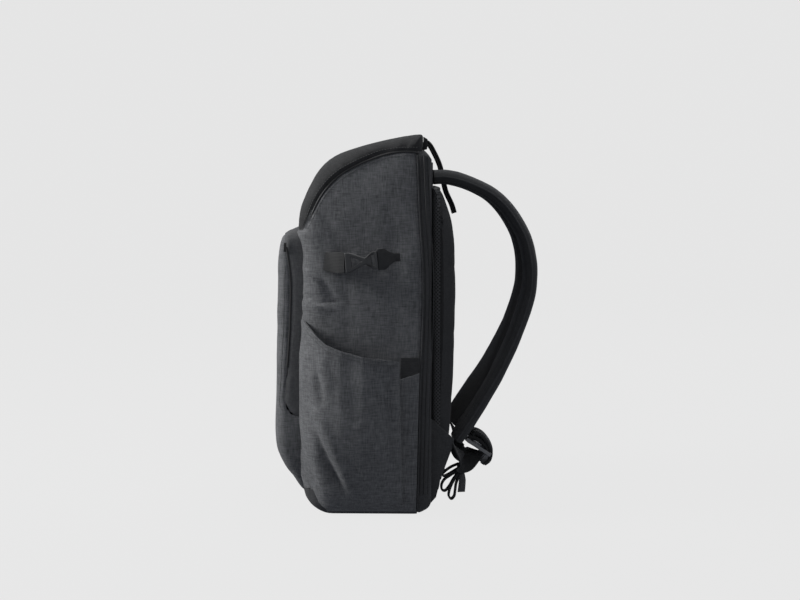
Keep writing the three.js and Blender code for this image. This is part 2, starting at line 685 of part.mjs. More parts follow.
// Hook between the two ends: wide at both ends, narrow in its middle, with an open triangle
function sideHookGeometry() {
  const start = sideStrapPlace({ across: 0.27, rise: 0.93 });
  const end = sideStrapPlace({ across: 0.71, rise: 0.93 });
  const [length, tall] = [end.distanceTo(start) - 5 * gap, sideStrapHeight * 0.9];
  const plan = rows => rows.map(([x, y]) => new THREE.Vector2((x - 0.5) * length, y * tall / 2));
  const outline = new THREE.Shape(plan([
    [0, -1], [0.14, -1], [0.30, -0.78], [0.62, -0.34], [0.86, -0.92], [1, -0.92],
    [1, 0.92], [0.86, 0.92], [0.62, 0.34], [0.30, 0.78], [0.14, 1], [0, 1],
  ]));
  outline.holes.push(new THREE.Path(plan([[0.20, -0.52], [0.52, 0], [0.20, 0.52]])));
  outline.holes.push(new THREE.Path(plan([[0.82, -0.55], [0.90, -0.55], [0.90, 0.55], [0.82, 0.55]])));
  const geometry = new THREE.ExtrudeGeometry(outline, {
    depth: hookSheet - 1.6, bevelEnabled: true, bevelSize: 0.8, bevelThickness: 0.8, bevelOffset: -0.8, bevelSegments: 1,
  });
  geometry.translate(0, 0, 0.8 - hookSheet / 2);
  const along = end.clone().sub(start).normalize();
  const out = new THREE.Vector3(1, 0, 0).addScaledVector(along, -along.x).normalize();
  const up = new THREE.Vector3().crossVectors(out, along);
  geometry.applyMatrix4(new THREE.Matrix4().makeBasis(along, up, out));
  const middle = start.clone().add(end).multiplyScalar(0.5);
  geometry.translate(middle.x, middle.y, middle.z);
  return geometryOf(solidOf(geometry));
}

// Pull on the front pocket's zip, and a folded tab where the lid's zip ends
function pocketPullGeometry() {
  const place = pocketView({ y: 0.55, z: 0.700 });
  const x0 = pillowHalfWidth(frontPocketView, place) + 3 * gap;
  const outline = [[-0.5, 0], [0.5, 0], [0.67, 1], [-0.33, 1]].map(([y, z]) =>
    new THREE.Vector2(place.x + y * pullWidth, place.y + z * pullLength));
  return geometryOf(prism(outline, x0, x0 + cloth));
}

function lidTabGeometry(side) {
  const y0 = lidLine.at(-1).x + gap;
  const z0 = 0.962 * bagHeight;
  const outline = [[0, 0], [0.9, 0.06], [1, 0.81], [0, 1]].map(([y, z]) =>
    new THREE.Vector2(y0 + y * tabDepth, z0 + z * tabHeight));
  const [near, far] = [0.76 * bodyWidth / 2, 0.83 * bodyWidth / 2];
  return geometryOf(side > 0 ? prism(outline, near, far) : prism(outline, -far, -near));
}

// Lower end of a shoulder strap: loop, ladder lock, webbing and its folded tail. A place is
// counted from the strap's foot: out away from the bag's middle, back and up, as shares of
// webbingWidth. What hangs from the foot turns with the strap's flare, by its swing.
const [kneeRow, footRow] = strapRows.slice(-2);
const foot = new THREE.Vector3(0, strapRootY + footRow.y * strapReach, footRow.z * bagHeight);
const footRun = new THREE.Vector3(
  0, (footRow.y - kneeRow.y) * strapReach, (footRow.z - kneeRow.z) * bagHeight).normalize();

function footPlace(side, { reach, back, up, swing }) {
  const turn = THREE.MathUtils.degToRad(flareOf(side, footRow.flare) * swing);
  return new THREE.Vector3(side * reach * webbingReach, back * webbingWidth, up * webbingWidth)
    .applyAxisAngle(footRun, turn).add(foot).add(new THREE.Vector3(side * strapSpacing / 2, 0, 0));
}

// Moves a piece that is drawn about the foot, seen from the right side, to its own side
function atFoot(geometry, side, swing = 1) {
  const placed = geometry.clone();
  const turn = THREE.MathUtils.degToRad(flareOf(side, footRow.flare) * swing);
  placed.applyMatrix4(new THREE.Matrix4().makeRotationAxis(footRun, turn));
  placed.translate(side * strapSpacing / 2, foot.y, foot.z);
  return placed;
}

const fromFoot = (side, rows) => rows.map(row => ({
  at: new THREE.Vector3(side * (row.out ?? 0), row.back, row.up).multiplyScalar(webbingWidth),
  width: row.width ?? webbingWidth,
  thick: row.thick ?? webbingSheet,
  turn: side * (row.turn ?? 0),
}));

// The loop is sewn on the strap's outer face, a little above its foot
const loopRoot = new THREE.Vector3(0, -footRun.z, footRun.y)
  .multiplyScalar(strapThickness / 2 + 4 * gap).addScaledVector(footRun, -0.8 * webbingWidth)
  .divideScalar(webbingWidth);
const strapLoopRows = [
  { back: loopRoot.y, up: loopRoot.z }, { back: 1.06, up: 0.58 }, { back: 1.36, up: 0.46 },
  { back: 1.64, up: 0.18 }, { back: 1.82, up: -0.16 }, { back: 1.904, up: -0.44 },
].map(row => ({ ...row, thick: 2 * webbingSheet }));

// reach goes from the strap's middle, 0, to the wing, 1
const webbingReach = (padWidth - strapSpacing - webbingWidth) / 2 + wingSheet + 2 * gap + cloth;
const lowerWebbingRows = [
  { reach: 1.00, back: -0.364, up: 0.48, turn: 0, swing: 0 },
  { reach: 0.94, back: -0.06, up: -0.08, turn: 0, swing: 0 },
  { reach: 0.73, back: 0.18, up: -0.56, turn: 6, swing: 0.1 },
  { reach: 0.46, back: 0.36, up: -0.90, turn: 24, swing: 0.4 },
  { reach: 0.23, back: 0.60, up: -0.90, turn: 43, swing: 0.8 },
  { reach: 0.08, back: 0.84, up: -0.72, turn: 32, swing: 1 },
  { reach: 0.00, back: 1.08, up: -0.444, turn: 10, swing: 1 },
];

// The spare webbing is folded into three loops and a short end, gathered by a band. Here a
// place is [back, up].
const tailFolds = [
  [[0.08, -1.20], [-0.32, -1.48], [-0.60, -1.68], [-0.69, -1.82], [-0.56, -1.90], [-0.24, -1.68], [0.08, -1.32]],
  [[0.12, -1.28], [-0.28, -1.88], [-0.56, -2.32], [-0.62, -2.48], [-0.46, -2.48], [-0.12, -2.04], [0.16, -1.36]],
  [[0.18, -1.32], [-0.14, -2.16], [-0.32, -2.60], [-0.24, -2.80], [-0.08, -2.64], [0.10, -2.04], [0.24, -1.36]],
];
const tailKeeper = [[0, -1.00], [0.32, -1.064], [0.30, -1.52], [-0.06, -1.42]];
const tailEnd = [
  { back: 0.28, up: -1.32, turn: 10 }, { back: 0.36, up: -1.92, turn: 28 }, { back: 0.30, up: -2.44, turn: 30 },
];
const tailOut = 0.56; // sideways place of the folded tail
const lockPlace = { back: 1.24, up: -0.20 };
// The lock's lever, [back, up] from the lock's middle as shares of lockLength
const leverOutline = [
  [0.389, -0.194], [0.444, -0.333], [0.347, -0.528], [0.194, -0.639], [0.069, -0.556], [0.111, -0.417], [0.222, -0.278],
];

function lowerWebbingGeometry(side) {
  return strapGeometry(lowerWebbingRows.map(row => ({
    at: footPlace(side, row),
    width: webbingWidth,
    thick: webbingSheet,
    turn: side * row.turn + flareOf(side, footRow.flare) * row.swing,
  })), 2, 0);
}

function ladderLockGeometry(side) {
  const slots = [{ at: -0.30, wide: 0.13, tall: 0.70 }, { at: 0.16, wide: 0.15, tall: 0.76 }];
  const half = lockWidth / 2;
  const plate = new THREE.Shape([
    [-0.5, -0.9], [0.5, -1], [0.5, 1], [-0.5, 0.9],
  ].map(([x, y]) => new THREE.Vector2(x * lockLength, y * half)));
  slots.forEach(({ at, wide, tall }) => plate.holes.push(new THREE.Path([
    [at - wide / 2, -tall], [at + wide / 2, -tall], [at + wide / 2, tall], [at - wide / 2, tall],
  ].map(([x, y]) => new THREE.Vector2(x * lockLength, y * half)))));
  const geometry = new THREE.ExtrudeGeometry(plate, { depth: lockSheet, bevelEnabled: false });
  geometry.translate(0, 0, -lockSheet / 2);
  const run = new THREE.Vector3(0, 0.839, -0.545);
  const across = new THREE.Vector3(1, 0, 0);
  geometry.applyMatrix4(new THREE.Matrix4().makeBasis(run, across, new THREE.Vector3().crossVectors(run, across)));
  const middle = new THREE.Vector2(lockPlace.back, lockPlace.up).multiplyScalar(webbingWidth);
  geometry.translate(0, middle.x, middle.y);
  const lever = leverOutline.map(([back, up]) => new THREE.Vector2(back, up).multiplyScalar(lockLength).add(middle));
  return atFoot(geometryOf(solidOf(geometry).add(prism(lever, -half * 0.62, half * 0.62))), side);
}

function webbingTailGeometry(side) {
  const centre = side * tailOut * webbingWidth;
  const half = webbingWidth * 0.52;
  const band = tailKeeper.map(([back, up]) => new THREE.Vector2(back, up).multiplyScalar(webbingWidth));
  const keeper = prism(band, centre - half, centre + half);
  const strands = [
    ...tailFolds.map(fold => fold.map(([back, up]) => ({ out: tailOut, back, up }))),
    tailEnd.map(row => ({ ...row, out: tailOut, width: webbingWidth * 0.9 })),
  ];
  const tail = strands.reduce((solid, rows) =>
    solid.add(solidOf(strapGeometry(fromFoot(side, rows), 2, 0))), keeper);
  return atFoot(geometryOf(tail), side, 0);
}

function add(group, name, material, geometry) {
  const mesh = new THREE.Mesh(geometry, material);
  mesh.name = name;
  group.add(mesh);
}

const backpack = new THREE.Group();
const shells = bagShells();
const bagGrown = grownBag();
const frontPocket = frontPocketSolids(bagGrown);

add(backpack, 'main_body', charcoal, geometryOf(shells.body));
add(backpack, 'base_panel', blackCloth, geometryOf(shells.base));
add(backpack, 'rear_frame', blackCloth, geometryOf(shells.back));
add(backpack, 'lid', blackCloth, geometryOf(shells.lid));
add(backpack, 'front_pocket', charcoal, geometryOf(frontPocket.face));
add(backpack, 'front_pocket_gusset', blackCloth, geometryOf(frontPocket.gusset));
add(backpack, 'front_zip_pull', webbing, pocketPullGeometry());
add(backpack, 'back_pad', airMesh, geometryOf(backPadSolid()));
add(backpack, 'yoke', blackCloth, yokeGeometry());
add(backpack, 'grab_handle', webbing, handleGeometry());
add(backpack, 'side_strap_front', webbing, sideStrapGeometry(sideStrapRows.front));
add(backpack, 'side_strap_hook', buckle, sideHookGeometry());
add(backpack, 'side_strap_elastic', webbing, sideStrapGeometry(sideStrapRows.back));

for (const [name, side] of [['right', 1], ['left', -1]]) {
  add(backpack, `side_pocket_${name}`, charcoal, geometryOf(sidePocketSolid(side, bagGrown)));
  add(backpack, `pocket_elastic_${name}`, blackCloth, elasticGeometry(side));
  add(backpack, `wing_${name}`, blackCloth, wingGeometry(side));
  add(backpack, `lid_tab_${name}`, webbing, lidTabGeometry(side));
  add(backpack, `shoulder_strap_${name}`, blackCloth, shoulderStrapGeometry(side));
  add(backpack, `strap_loop_${name}`, webbing, atFoot(strapGeometry(fromFoot(side, strapLoopRows), 2, 0), side));
  add(backpack, `ladder_lock_${name}`, buckle, ladderLockGeometry(side));
  add(backpack, `lower_webbing_${name}`, webbing, lowerWebbingGeometry(side));
  add(backpack, `webbing_tail_${name}`, webbing, webbingTailGeometry(side));
}

export default backpack;
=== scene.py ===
import math

import bmesh
import bpy
import numpy as np
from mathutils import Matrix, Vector, noise
from mathutils.bvhtree import BVHTree


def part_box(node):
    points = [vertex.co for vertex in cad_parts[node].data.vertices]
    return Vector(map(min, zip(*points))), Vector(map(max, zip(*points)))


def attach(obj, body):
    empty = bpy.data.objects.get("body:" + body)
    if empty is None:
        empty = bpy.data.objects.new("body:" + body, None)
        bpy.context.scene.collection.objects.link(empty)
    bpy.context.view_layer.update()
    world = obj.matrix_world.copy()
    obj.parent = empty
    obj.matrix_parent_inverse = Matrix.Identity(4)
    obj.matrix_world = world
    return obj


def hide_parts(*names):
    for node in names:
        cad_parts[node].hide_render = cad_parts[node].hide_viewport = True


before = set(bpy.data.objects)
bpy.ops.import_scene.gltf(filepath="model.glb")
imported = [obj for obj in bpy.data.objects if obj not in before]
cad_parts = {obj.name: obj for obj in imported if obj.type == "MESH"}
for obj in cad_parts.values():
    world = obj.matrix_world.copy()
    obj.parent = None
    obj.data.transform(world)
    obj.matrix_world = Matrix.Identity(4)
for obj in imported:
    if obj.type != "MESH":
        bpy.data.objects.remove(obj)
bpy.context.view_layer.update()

# Camera backpack: cloth, padding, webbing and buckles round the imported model.
# Lengths below are millimetres in the model's own frame: +Z up, the bag's front towards -Y,
# the shoulder straps towards +Y, the wearer's right towards +X.
mm = 0.001

bag = {
    "height": 456,          # floor to the top of the lid
    "depth": 161,           # front panel to back panel
    "width": 280,           # across the side panels
    "frontShare": 0.547,    # share of the depth in front of the origin
    "narrowing": 0.06,      # share of the width lost towards the top
    "crown": 5,             # belly of the side panels
    "edge": 28,             # rounding of the upright front corners
    "chamferHeight": 55,
    "chamferDepth": 28,
    "skin": 4,              # thickness of the padded cloth as built here
}
frontY = -bag["frontShare"] * bag["depth"]
backY = (1 - bag["frontShare"]) * bag["depth"]

camera = {"lens": 70.875, "sensor": 36, "at": (2.0, 0.035, 0.4067), "tilt": 4.54}


def placed(name, data):
    made = bpy.data.objects.new(name, data)
    bpy.context.scene.collection.objects.link(made)
    return made


def makeCamera():
    data = bpy.data.cameras.new("camera")
    data.lens, data.sensor_width = camera["lens"], camera["sensor"]
    eye = placed("camera", data)
    eye.location = camera["at"]
    eye.rotation_euler = (math.radians(90 - camera["tilt"]), 0, math.radians(90))
    bpy.context.scene.camera = eye


makeCamera()
print("camera placed")


# Shader writing: a Wire is a socket that turns arithmetic into Math nodes
class Wire:
    def __init__(self, paint, socket):
        self.paint, self.socket = paint, socket

    def calc(self, how, *others):
        return self.paint.node("ShaderNodeMath", {"operation": how}, dict(enumerate((self,) + others)))

    def __add__(self, other):
        return self.calc("ADD", other)

    def __mul__(self, other):
        return self.calc("MULTIPLY", other)

    def __sub__(self, other):
        return self.calc("SUBTRACT", other)

    def __rsub__(self, other):
        return self.paint.node("ShaderNodeMath", {"operation": "SUBTRACT"}, {0: other, 1: self})

    __radd__ = __add__
    __rmul__ = __mul__

    def clamped(self):
        return self.paint.node("ShaderNodeClamp", {}, {0: self})


class Paint:
    def __init__(self, name):
        self.material = bpy.data.materials.new(name)
        self.material.use_nodes = True
        self.tree = self.material.node_tree
        self.tree.nodes.clear()

    def put(self, socket, value):
        if isinstance(value, Wire):
            self.tree.links.new(value.socket, socket)
        else:
            socket.default_value = value

    # makes a node: its settings first, then the values or links of its sockets
    def node(self, kind, settings, values, out=0):
        made = self.tree.nodes.new(kind)
        for key, value in settings.items():
            setattr(made, key, value)
        for key, value in values.items():
            self.put(made.inputs[key], value)
        return Wire(self, made.outputs[out]) if made.outputs else None

    def finish(self, values, sheen=0.0):
        surface = self.node("ShaderNodeBsdfPrincipled", {}, {**values, "Sheen Weight": sheen})
        self.node("ShaderNodeOutputMaterial", {}, {"Surface": surface})
        return self.material

    # position on the object in millimetres
    def place(self):
        where = self.node("ShaderNodeTexCoord", {}, {}, "Object")
        return self.node("ShaderNodeVectorMath", {"operation": "SCALE"}, {0: where, "Scale": 1 / mm})

    def stretched(self, where, x, y, z):
        return self.node("ShaderNodeVectorMath", {"operation": "MULTIPLY"}, {0: where, 1: (x, y, z)})

    def grain(self, where, size, detail):
        return self.node("ShaderNodeTexNoise", {}, {
            "Vector": where, "Scale": 1 / size, "Detail": detail, "Roughness": 0.55})

    def mixed(self, share, a, b):
        return self.node("ShaderNodeMix", {"data_type": "RGBA"}, {0: share, 6: a, 7: b}, 2)

    def parts(self, where):
        split = self.node("ShaderNodeSeparateXYZ", {}, {0: where}).socket.node
        return [Wire(self, socket) for socket in split.outputs]

    def bump(self, height, depth):
        return self.node("ShaderNodeBump", {}, {"Height": height, "Distance": depth * mm, "Strength": 1.0})


def grey(value, blue=1.0):
    return (value, value * (1 + 0.3 * (blue - 1)), value * blue, 1)


# Cloth: weave of two thread directions, with darker and lighter threads running through it.
# The diagonal x + y keeps the weave's scale on the front, side and back faces alike.
def clothPaint(name, look):
    paint = Paint(name)
    where = paint.place()
    x, y, z = paint.parts(where)
    across = (x + y) * (2 * math.pi / look["pitch"])
    up = z * (2 * math.pi / look["pitch"])
    weave = across.calc("SINE") * up.calc("SINE")
    flat = paint.grain(paint.stretched(where, look["slub"], look["slub"], 1), look["fleck"], 2.0)
    upright = paint.grain(paint.stretched(where, 1, 1, look["slub"]), look["fleck"], 2.0)
    cloud = paint.grain(where, look["cloud"], 2.0)
    threads = (flat - 0.5) * look["streak"] + (upright - 0.5) * look["streak"]
    mix = (threads + (cloud - 0.5) * 0.5 + 0.5).clamped()
    colour = paint.mixed(mix, look["dark"], look["light"])
    height = weave * 0.5 + flat * 0.8 + upright * 0.8
    return paint.finish({
        "Base Color": colour,
        "Roughness": (cloud * 0.12 + look["rough"]).clamped(),
        "Normal": paint.bump(height, look["relief"]),
        "Specular IOR Level": look["gloss"],
    }, look["sheen"])


clothLooks = {
    "greyCloth": dict(dark=grey(0.046, 1.06), light=grey(0.134, 1.03), pitch=1.1, fleck=1.5, slub=0.13,
                      cloud=60, streak=1.25, rough=0.86, relief=0.20, gloss=0.15, sheen=0.05),
    "blackCloth": dict(dark=grey(0.027, 1.05), light=grey(0.056, 1.03), pitch=1.0, fleck=1.2, slub=0.2,
                       cloud=40, streak=1.0, rough=0.84, relief=0.12, gloss=0.12, sheen=0.03),
    "lidCloth": dict(dark=grey(0.015, 1.02), light=grey(0.036, 1.01), pitch=1.0, fleck=1.2, slub=0.2,
                     cloud=40, streak=1.0, rough=0.84, relief=0.14, gloss=0.12, sheen=0.03),
    "gussetCloth": dict(dark=grey(0.040, 1.04), light=grey(0.082, 1.03), pitch=1.0, fleck=1.2, slub=0.2,
                        cloud=40, streak=1.0, rough=0.84, relief=0.12, gloss=0.12, sheen=0.03),
    "strapCloth": dict(dark=grey(0.021, 1.05), light=grey(0.043, 1.03), pitch=0.9, fleck=1.1, slub=0.2,
                       cloud=30, streak=0.8, rough=0.78, relief=0.10, gloss=0.15, sheen=0.04),
}


# Spacer mesh: diamond holes in a knitted net, painted dark as painted shade inside the holes
def meshPaint(name, look):
    paint = Paint(name)
    where = paint.place()
    x, y, z = paint.parts(where)
    turn = math.pi / look["pitch"]
    one = (x + y + z) * turn
    two = (x + y - z) * turn
    knit = one.calc("SINE").calc("ABSOLUTE") * two.calc("SINE").calc("ABSOLUTE")
    shadedHole = ((knit - look["edge"]) * look["crisp"]).clamped()
    cloud = paint.grain(where, look["cloud"], 2.0)
    yarn = paint.mixed(cloud, look["dark"], look["light"])
    return paint.finish({
        # the holes take a near-black colour: painted shade
        "Base Color": paint.mixed(shadedHole, yarn, look["shadedHole"]),
        "Roughness": (shadedHole * 0.1 + look["rough"]).clamped(),
        "Normal": paint.bump(1 - shadedHole, look["relief"]),
        "Specular IOR Level": 0.3,
    }, look["sheen"])


meshLook = dict(dark=grey(0.042, 1.05), light=grey(0.066, 1.03), shadedHole=grey(0.014), pitch=4.4,
                edge=0.34, crisp=5.0, cloud=30, rough=0.82, relief=0.7, sheen=0.04)


# Webbing: the sweep writes "run", millimetres along and across each strap
def webbingPaint(name, look):
    paint = Paint(name)
    run = paint.node("ShaderNodeAttribute", {"attribute_name": "run"}, {}, "Vector")
    along, across, _ = paint.parts(run)
    ribs = (across * (2 * math.pi / look["rib"])).calc("SINE")
    picks = (along * (2 * math.pi / look["pick"])).calc("SINE")
    cloud = paint.grain(paint.place(), look["cloud"], 3.0)
    height = ribs * look["ribShare"] + picks * (1 - look["ribShare"]) + cloud * 0.6
    shade = ((ribs * picks) * 0.18 + cloud).clamped()
    return paint.finish({
        "Base Color": paint.mixed(shade, look["dark"], look["light"]),
        "Roughness": (cloud * 0.15 + look["rough"]).clamped(),
        "Normal": paint.bump(height, look["relief"]),
        "Specular IOR Level": look["gloss"],
    }, look["sheen"])


webbingLook = dict(dark=grey(0.010), light=grey(0.026), rib=1.7, pick=1.1, ribShare=0.7, cloud=6,
                   rough=0.72, relief=0.20, gloss=0.2, sheen=0.05)
elasticLook = dict(dark=grey(0.018, 1.04), light=grey(0.038, 1.03), rib=1.0, pick=1.4, ribShare=0.5, cloud=6,
                   rough=0.76, relief=0.15, gloss=0.12, sheen=0.04)


# Plastic and thread. A painted shade colour, where a look gives one, darkens what lies below a height.
def plasticPaint(name, look):
    paint = Paint(name)
    where = paint.place()
    grain = paint.grain(where, look["grain"], 2.0)
    wear = paint.grain(where, look["wear"], 4.0)
    colour = paint.mixed(wear, look["dark"], look["light"])
    if "hook" in look:
        # painted shade: below the given height the colour turns near-black
        up = paint.parts(where)[2]
        colour = paint.mixed(((up - look["hookBelow"]) * (1 / look["hookFade"])).clamped(), look["hook"], colour)
    return paint.finish({
        "Base Color": colour,
        "Roughness": (wear * 0.2 + look["rough"]).clamped(),
        "Normal": paint.bump(grain, look["relief"]),
        "Specular IOR Level": 0.5,
    })


paints = {name: clothPaint(name, look) for name, look in clothLooks.items()}
paints["airMesh"] = meshPaint("airMesh", meshLook)
paints["webbing"] = webbingPaint("webbing", webbingLook)
paints["elastic"] = webbingPaint("elastic", elasticLook)
plasticLooks = {
    "plastic": dict(dark=grey(0.016), light=grey(0.034), grain=0.5, wear=12, rough=0.30, relief=0.05),
    # ladder lock plastic: light grey stands for a painted highlight on the lit plate, near-black below 55 mm for
    # painted shade under it
    "satinPlastic": dict(dark=grey(0.11), light=grey(0.19), grain=0.5, wear=10, rough=0.30, relief=0.04,
                         hook=grey(0.012), hookBelow=55, hookFade=5),
    "zipCoil": dict(dark=grey(0.010), light=grey(0.022), grain=0.4, wear=8, rough=0.60, relief=0.06),
    "thread": dict(dark=grey(0.030), light=grey(0.070), grain=0.3, wear=3, rough=0.60, relief=0.10),
}
for name, look in plasticLooks.items():
    paints[name] = plasticPaint(name, look)
print("materials made")


# Meshes are arrays of points in millimetres and triangles until they become a piece
def vertexNormals(points, tris):
    a, b, c = (points[tris[:, k]] for k in range(3))
    face = np.cross(b - a, c - a)
    normal = np.zeros_like(points)
    for k in range(3):
        np.add.at(normal, tris[:, k], face)
    return normal / np.maximum(np.linalg.norm(normal, axis=1, keepdims=True), 1e-9)


def allEdges(tris):
    return np.vstack([tris[:, [0, 1]], tris[:, [1, 2]], tris[:, [2, 0]]])


def borderEdges(tris):
    edges = allEdges(tris).tolist()
    known = {(a, b) for a, b in edges}
    return [(a, b) for a, b in edges if (b, a) not in known]


# Gives a skin its thickness inwards, with a closed rim
def thicken(points, tris, thickness):
    inner = points - vertexNormals(points, tris) * thickness
    count = len(points)
    rim = []
    for a, b in borderEdges(tris):
        rim += [(b, a, a + count), (b, a + count, b + count)]
    faces = [tris, tris[:, ::-1] + count]
    if rim:
        faces.append(np.array(rim))
    return np.vstack([points, inner]), np.vstack(faces)


# Splits triangles where a field crosses a level, and drops what lies above it if asked.
# Points close to the level move onto it first, so that no slivers form.
def cutMesh(points, tris, field, level=0.0, drop=True, snap=0.2):
    points = points.copy()
    value = field(points) - level
    edges = allEdges(tris)
    edges = edges[(value[edges[:, 0]] > 0) != (value[edges[:, 1]] > 0)]
    ends = np.vstack([edges, edges[:, ::-1]])
    share = value[ends[:, 0]] / (value[ends[:, 0]] - value[ends[:, 1]])
    near, away = ends[share < snap].T
    points[near] = points[near] + (points[away] - points[near]) * share[share < snap][:, None]
    value[near] = 0
    marks = np.sign(value).astype(int)[tris]
    crossed = (marks.min(axis=1) < 0) & (marks.max(axis=1) > 0)
    whole = ~crossed & ((marks.max(axis=1) <= 0) | (not drop))
    added, known, kept = [], {}, []

    def crossing(a, b):
        key = (a, b) if a < b else (b, a)
        if key not in known:
            part = value[key[0]] / (value[key[0]] - value[key[1]])
            added.append(points[key[0]] + (points[key[1]] - points[key[0]]) * part)
            known[key] = len(points) + len(added) - 1
        return known[key]

    for tri, mark in zip(tris[crossed].tolist(), marks[crossed].tolist()):
        lone = mark.index(0) if 0 in mark else mark.index(-sum(mark))
        a, b, c = tri[lone], tri[(lone + 1) % 3], tri[(lone + 2) % 3]
        if mark[lone] == 0:
            p = crossing(b, c)
            pieces = [((a, b, p), mark[(lone + 1) % 3]), ((a, p, c), mark[(lone + 2) % 3])]
        else:
            p, q = crossing(a, b), crossing(a, c)
            pieces = [((a, p, q), mark[lone]), ((p, b, c), -mark[lone]), ((p, c, q), -mark[lone])]
        kept += [face for face, way in pieces if way < 0 or not drop]
    grown = np.vstack([points, np.array(added)]) if added else points
    return tidied(grown, np.vstack([tris[whole], np.array(kept, int).reshape(-1, 3)]))


def tidied(points, tris):
    used = np.unique(tris)
    number = np.full(len(points), -1)
    number[used] = np.arange(len(used))
    return points[used], number[tris]


# Distance from points in the side view to a line, and how far along it the nearest spot lies
def toLine(p, start, end):
    along = end - start
    share = np.clip((p - start) @ along / max(along @ along, 1e-9), 0, 1)
    return np.linalg.norm(p - start - share[:, None] * along, axis=1), share


# Signed distance in the side view to a closed outline, negative inside
def outlineField(outline):
    a = np.array(outline, float)
    b = np.roll(a, -1, axis=0)

    def field(points):
        p = points[:, 1:3]
        best = np.full(len(p), np.inf)
        inside = np.zeros(len(p), bool)
        for start, end in zip(a, b):
            along = end - start
            best = np.minimum(best, toLine(p, start, end)[0])
            crosses = (start[1] > p[:, 1]) != (end[1] > p[:, 1])
            rise = along[1] if along[1] else 1e-9
            inside ^= crosses & (p[:, 0] < start[0] + along[0] * (p[:, 1] - start[1]) / rise)
        return np.where(inside, -best, best)
    return field


# An outline of rows with softened corners, as short stretches of place and edge share
def softOutline(rows, place, unit, longest, steps=7):
    corners = [np.array(place(row), float) for row in rows]
    found = []
    for i, row in enumerate(rows):
        here, before, after = corners[i], corners[i - 1], corners[(i + 1) % len(rows)]
        edge, soften = row.get("edge", 1), row.get("soften", 0) * unit
        if not soften:
            found.append((here, edge))
            continue
        start = here + (before - here) / np.linalg.norm(before - here) * soften
        end = here + (after - here) / np.linalg.norm(after - here) * soften
        for t in np.linspace(0, 1, steps):
            found.append(((1 - t) ** 2 * start + 2 * t * (1 - t) * here + t * t * end, edge))
    split = []
    for i, (at, edge) in enumerate(found):
        onto, ontoEdge = found[(i + 1) % len(found)]
        parts = max(1, math.ceil(np.linalg.norm(onto - at) / longest))
        split += [(at + (onto - at) * k / parts, edge + (ontoEdge - edge) * k / parts) for k in range(parts)]
    turned = sum(p[0][0] * q[0][1] - q[0][0] * p[0][1] for p, q in zip(split, split[1:] + split[:1]))
    return split if turned > 0 else split[::-1]


def narrowed(z):
    return 1 - bag["narrowing"] * np.clip(z / bag["height"], 0, 1) ** 2


# A pillow is an outline's solid with rounded edges and crowned sides
def makePillow(outline, spine, halfWidth, radius, crown, reach):
    return {
        "at": np.array([p[0] for p in outline]), "edge": np.array([p[1] for p in outline]),
        "spine": np.array(spine, float),
        "half": halfWidth, "radius": radius, "crown": crown, "reach": reach,
    }


def pillowHalf(pillow, p):
    a, b = pillow["at"], np.roll(pillow["at"], -1, axis=0)
    edgeA, edgeB = pillow["edge"], np.roll(pillow["edge"], -1)
    best, edge = np.full(len(p), np.inf), np.ones(len(p))
    for start, end, e0, e1 in zip(a, b, edgeA, edgeB):
        away, share = toLine(p, start, end)
        nearer = away < best
        best[nearer], edge[nearer] = away[nearer], (e0 + (e1 - e0) * share)[nearer]
    radius = edge * pillow["radius"]
    inset = np.clip(radius - best, 0, None)
    rounding = radius - np.sqrt(np.maximum(radius ** 2 - inset ** 2, 0))
    rise = np.clip(best / pillow["reach"], 0, 1)
    return pillow["half"] * narrowed(p[:, 1]) - rounding + pillow["crown"] * (1 - (1 - rise) ** 2)


def pillowMesh(pillow, edgeSteps=8, capSteps=9, across=30, inward=0.97, spineSteps=24):
    at, spine = pillow["at"], pillow["spine"]
    count = len(at)
    along = spine[1] - spine[0]
    share = np.clip((at - spine[0]) @ along / (along @ along), 0, 1)
    middle = spine[0] + share[:, None] * along
    room = np.linalg.norm(at - middle, axis=1)
    radius = pillow["edge"] * pillow["radius"]
    insets = [radius * (1 - math.cos(k / edgeSteps * math.pi / 2)) for k in range(edgeSteps + 1)]
    insets += [radius + (inward * room - radius) * k / capSteps for k in range(1, capSteps + 1)]
    points, tris = [], []

    def ring(inset, side, first):
        p = at + (middle - at) * (np.minimum(inset, inward * room) / room)[:, None]
        half = pillow["half"] * narrowed(p[:, 1]) - radius if first else pillowHalf(pillow, p)
        points.append(np.column_stack([side * half, p]))
        return np.arange(count) + (len(points) - 1) * count

    def strip(inner, outer):
        after = np.roll(np.arange(count), -1)
        tris.append(np.column_stack([inner, outer, outer[after]]))
        tris.append(np.column_stack([inner, outer[after], inner[after]]))

    right = [ring(inset, 1, k == 0) for k, inset in enumerate(insets)]
    left = [ring(inset, -1, k == 0) for k, inset in enumerate(insets)]
    edge = points[0][:, 0]
    belt = [right[0]]
    for k in range(1, across):
        points.append(np.column_stack([edge * (1 - 2 * k / across), at]))
        belt.append(np.arange(count) + (len(points) - 1) * count)
    belt.append(left[0])
    for a, b in zip(belt, belt[1:]):
        strip(a, b)
    for k in range(len(insets) - 1):
        strip(right[k + 1], right[k])
        strip(left[k], left[k + 1])
    total = len(points) * count
    seeds = spine[0] + np.linspace(0, 1, spineSteps + 1)[:, None] * along
    half = pillowHalf(pillow, seeds)
    onSpine = np.round(share * spineSteps).astype(int)
    for side, last, base in ((1, right[-1], total), (-1, left[-1], total + spineSteps + 1)):
        points.append(np.column_stack([side * half, seeds]))
        for i in range(count):
            j = (i + 1) % count
            a, b = onSpine[i], onSpine[j]
            fan = [(base + a, last[i], last[j])]
            way = 1 if b > a else -1
            fan += [(base + k, last[j], base + k + way) for k in range(a, b, way)]
            tris.append(np.array(fan if side > 0 else [f[::-1] for f in fan]))
    return np.vstack(points), np.vstack(tris)


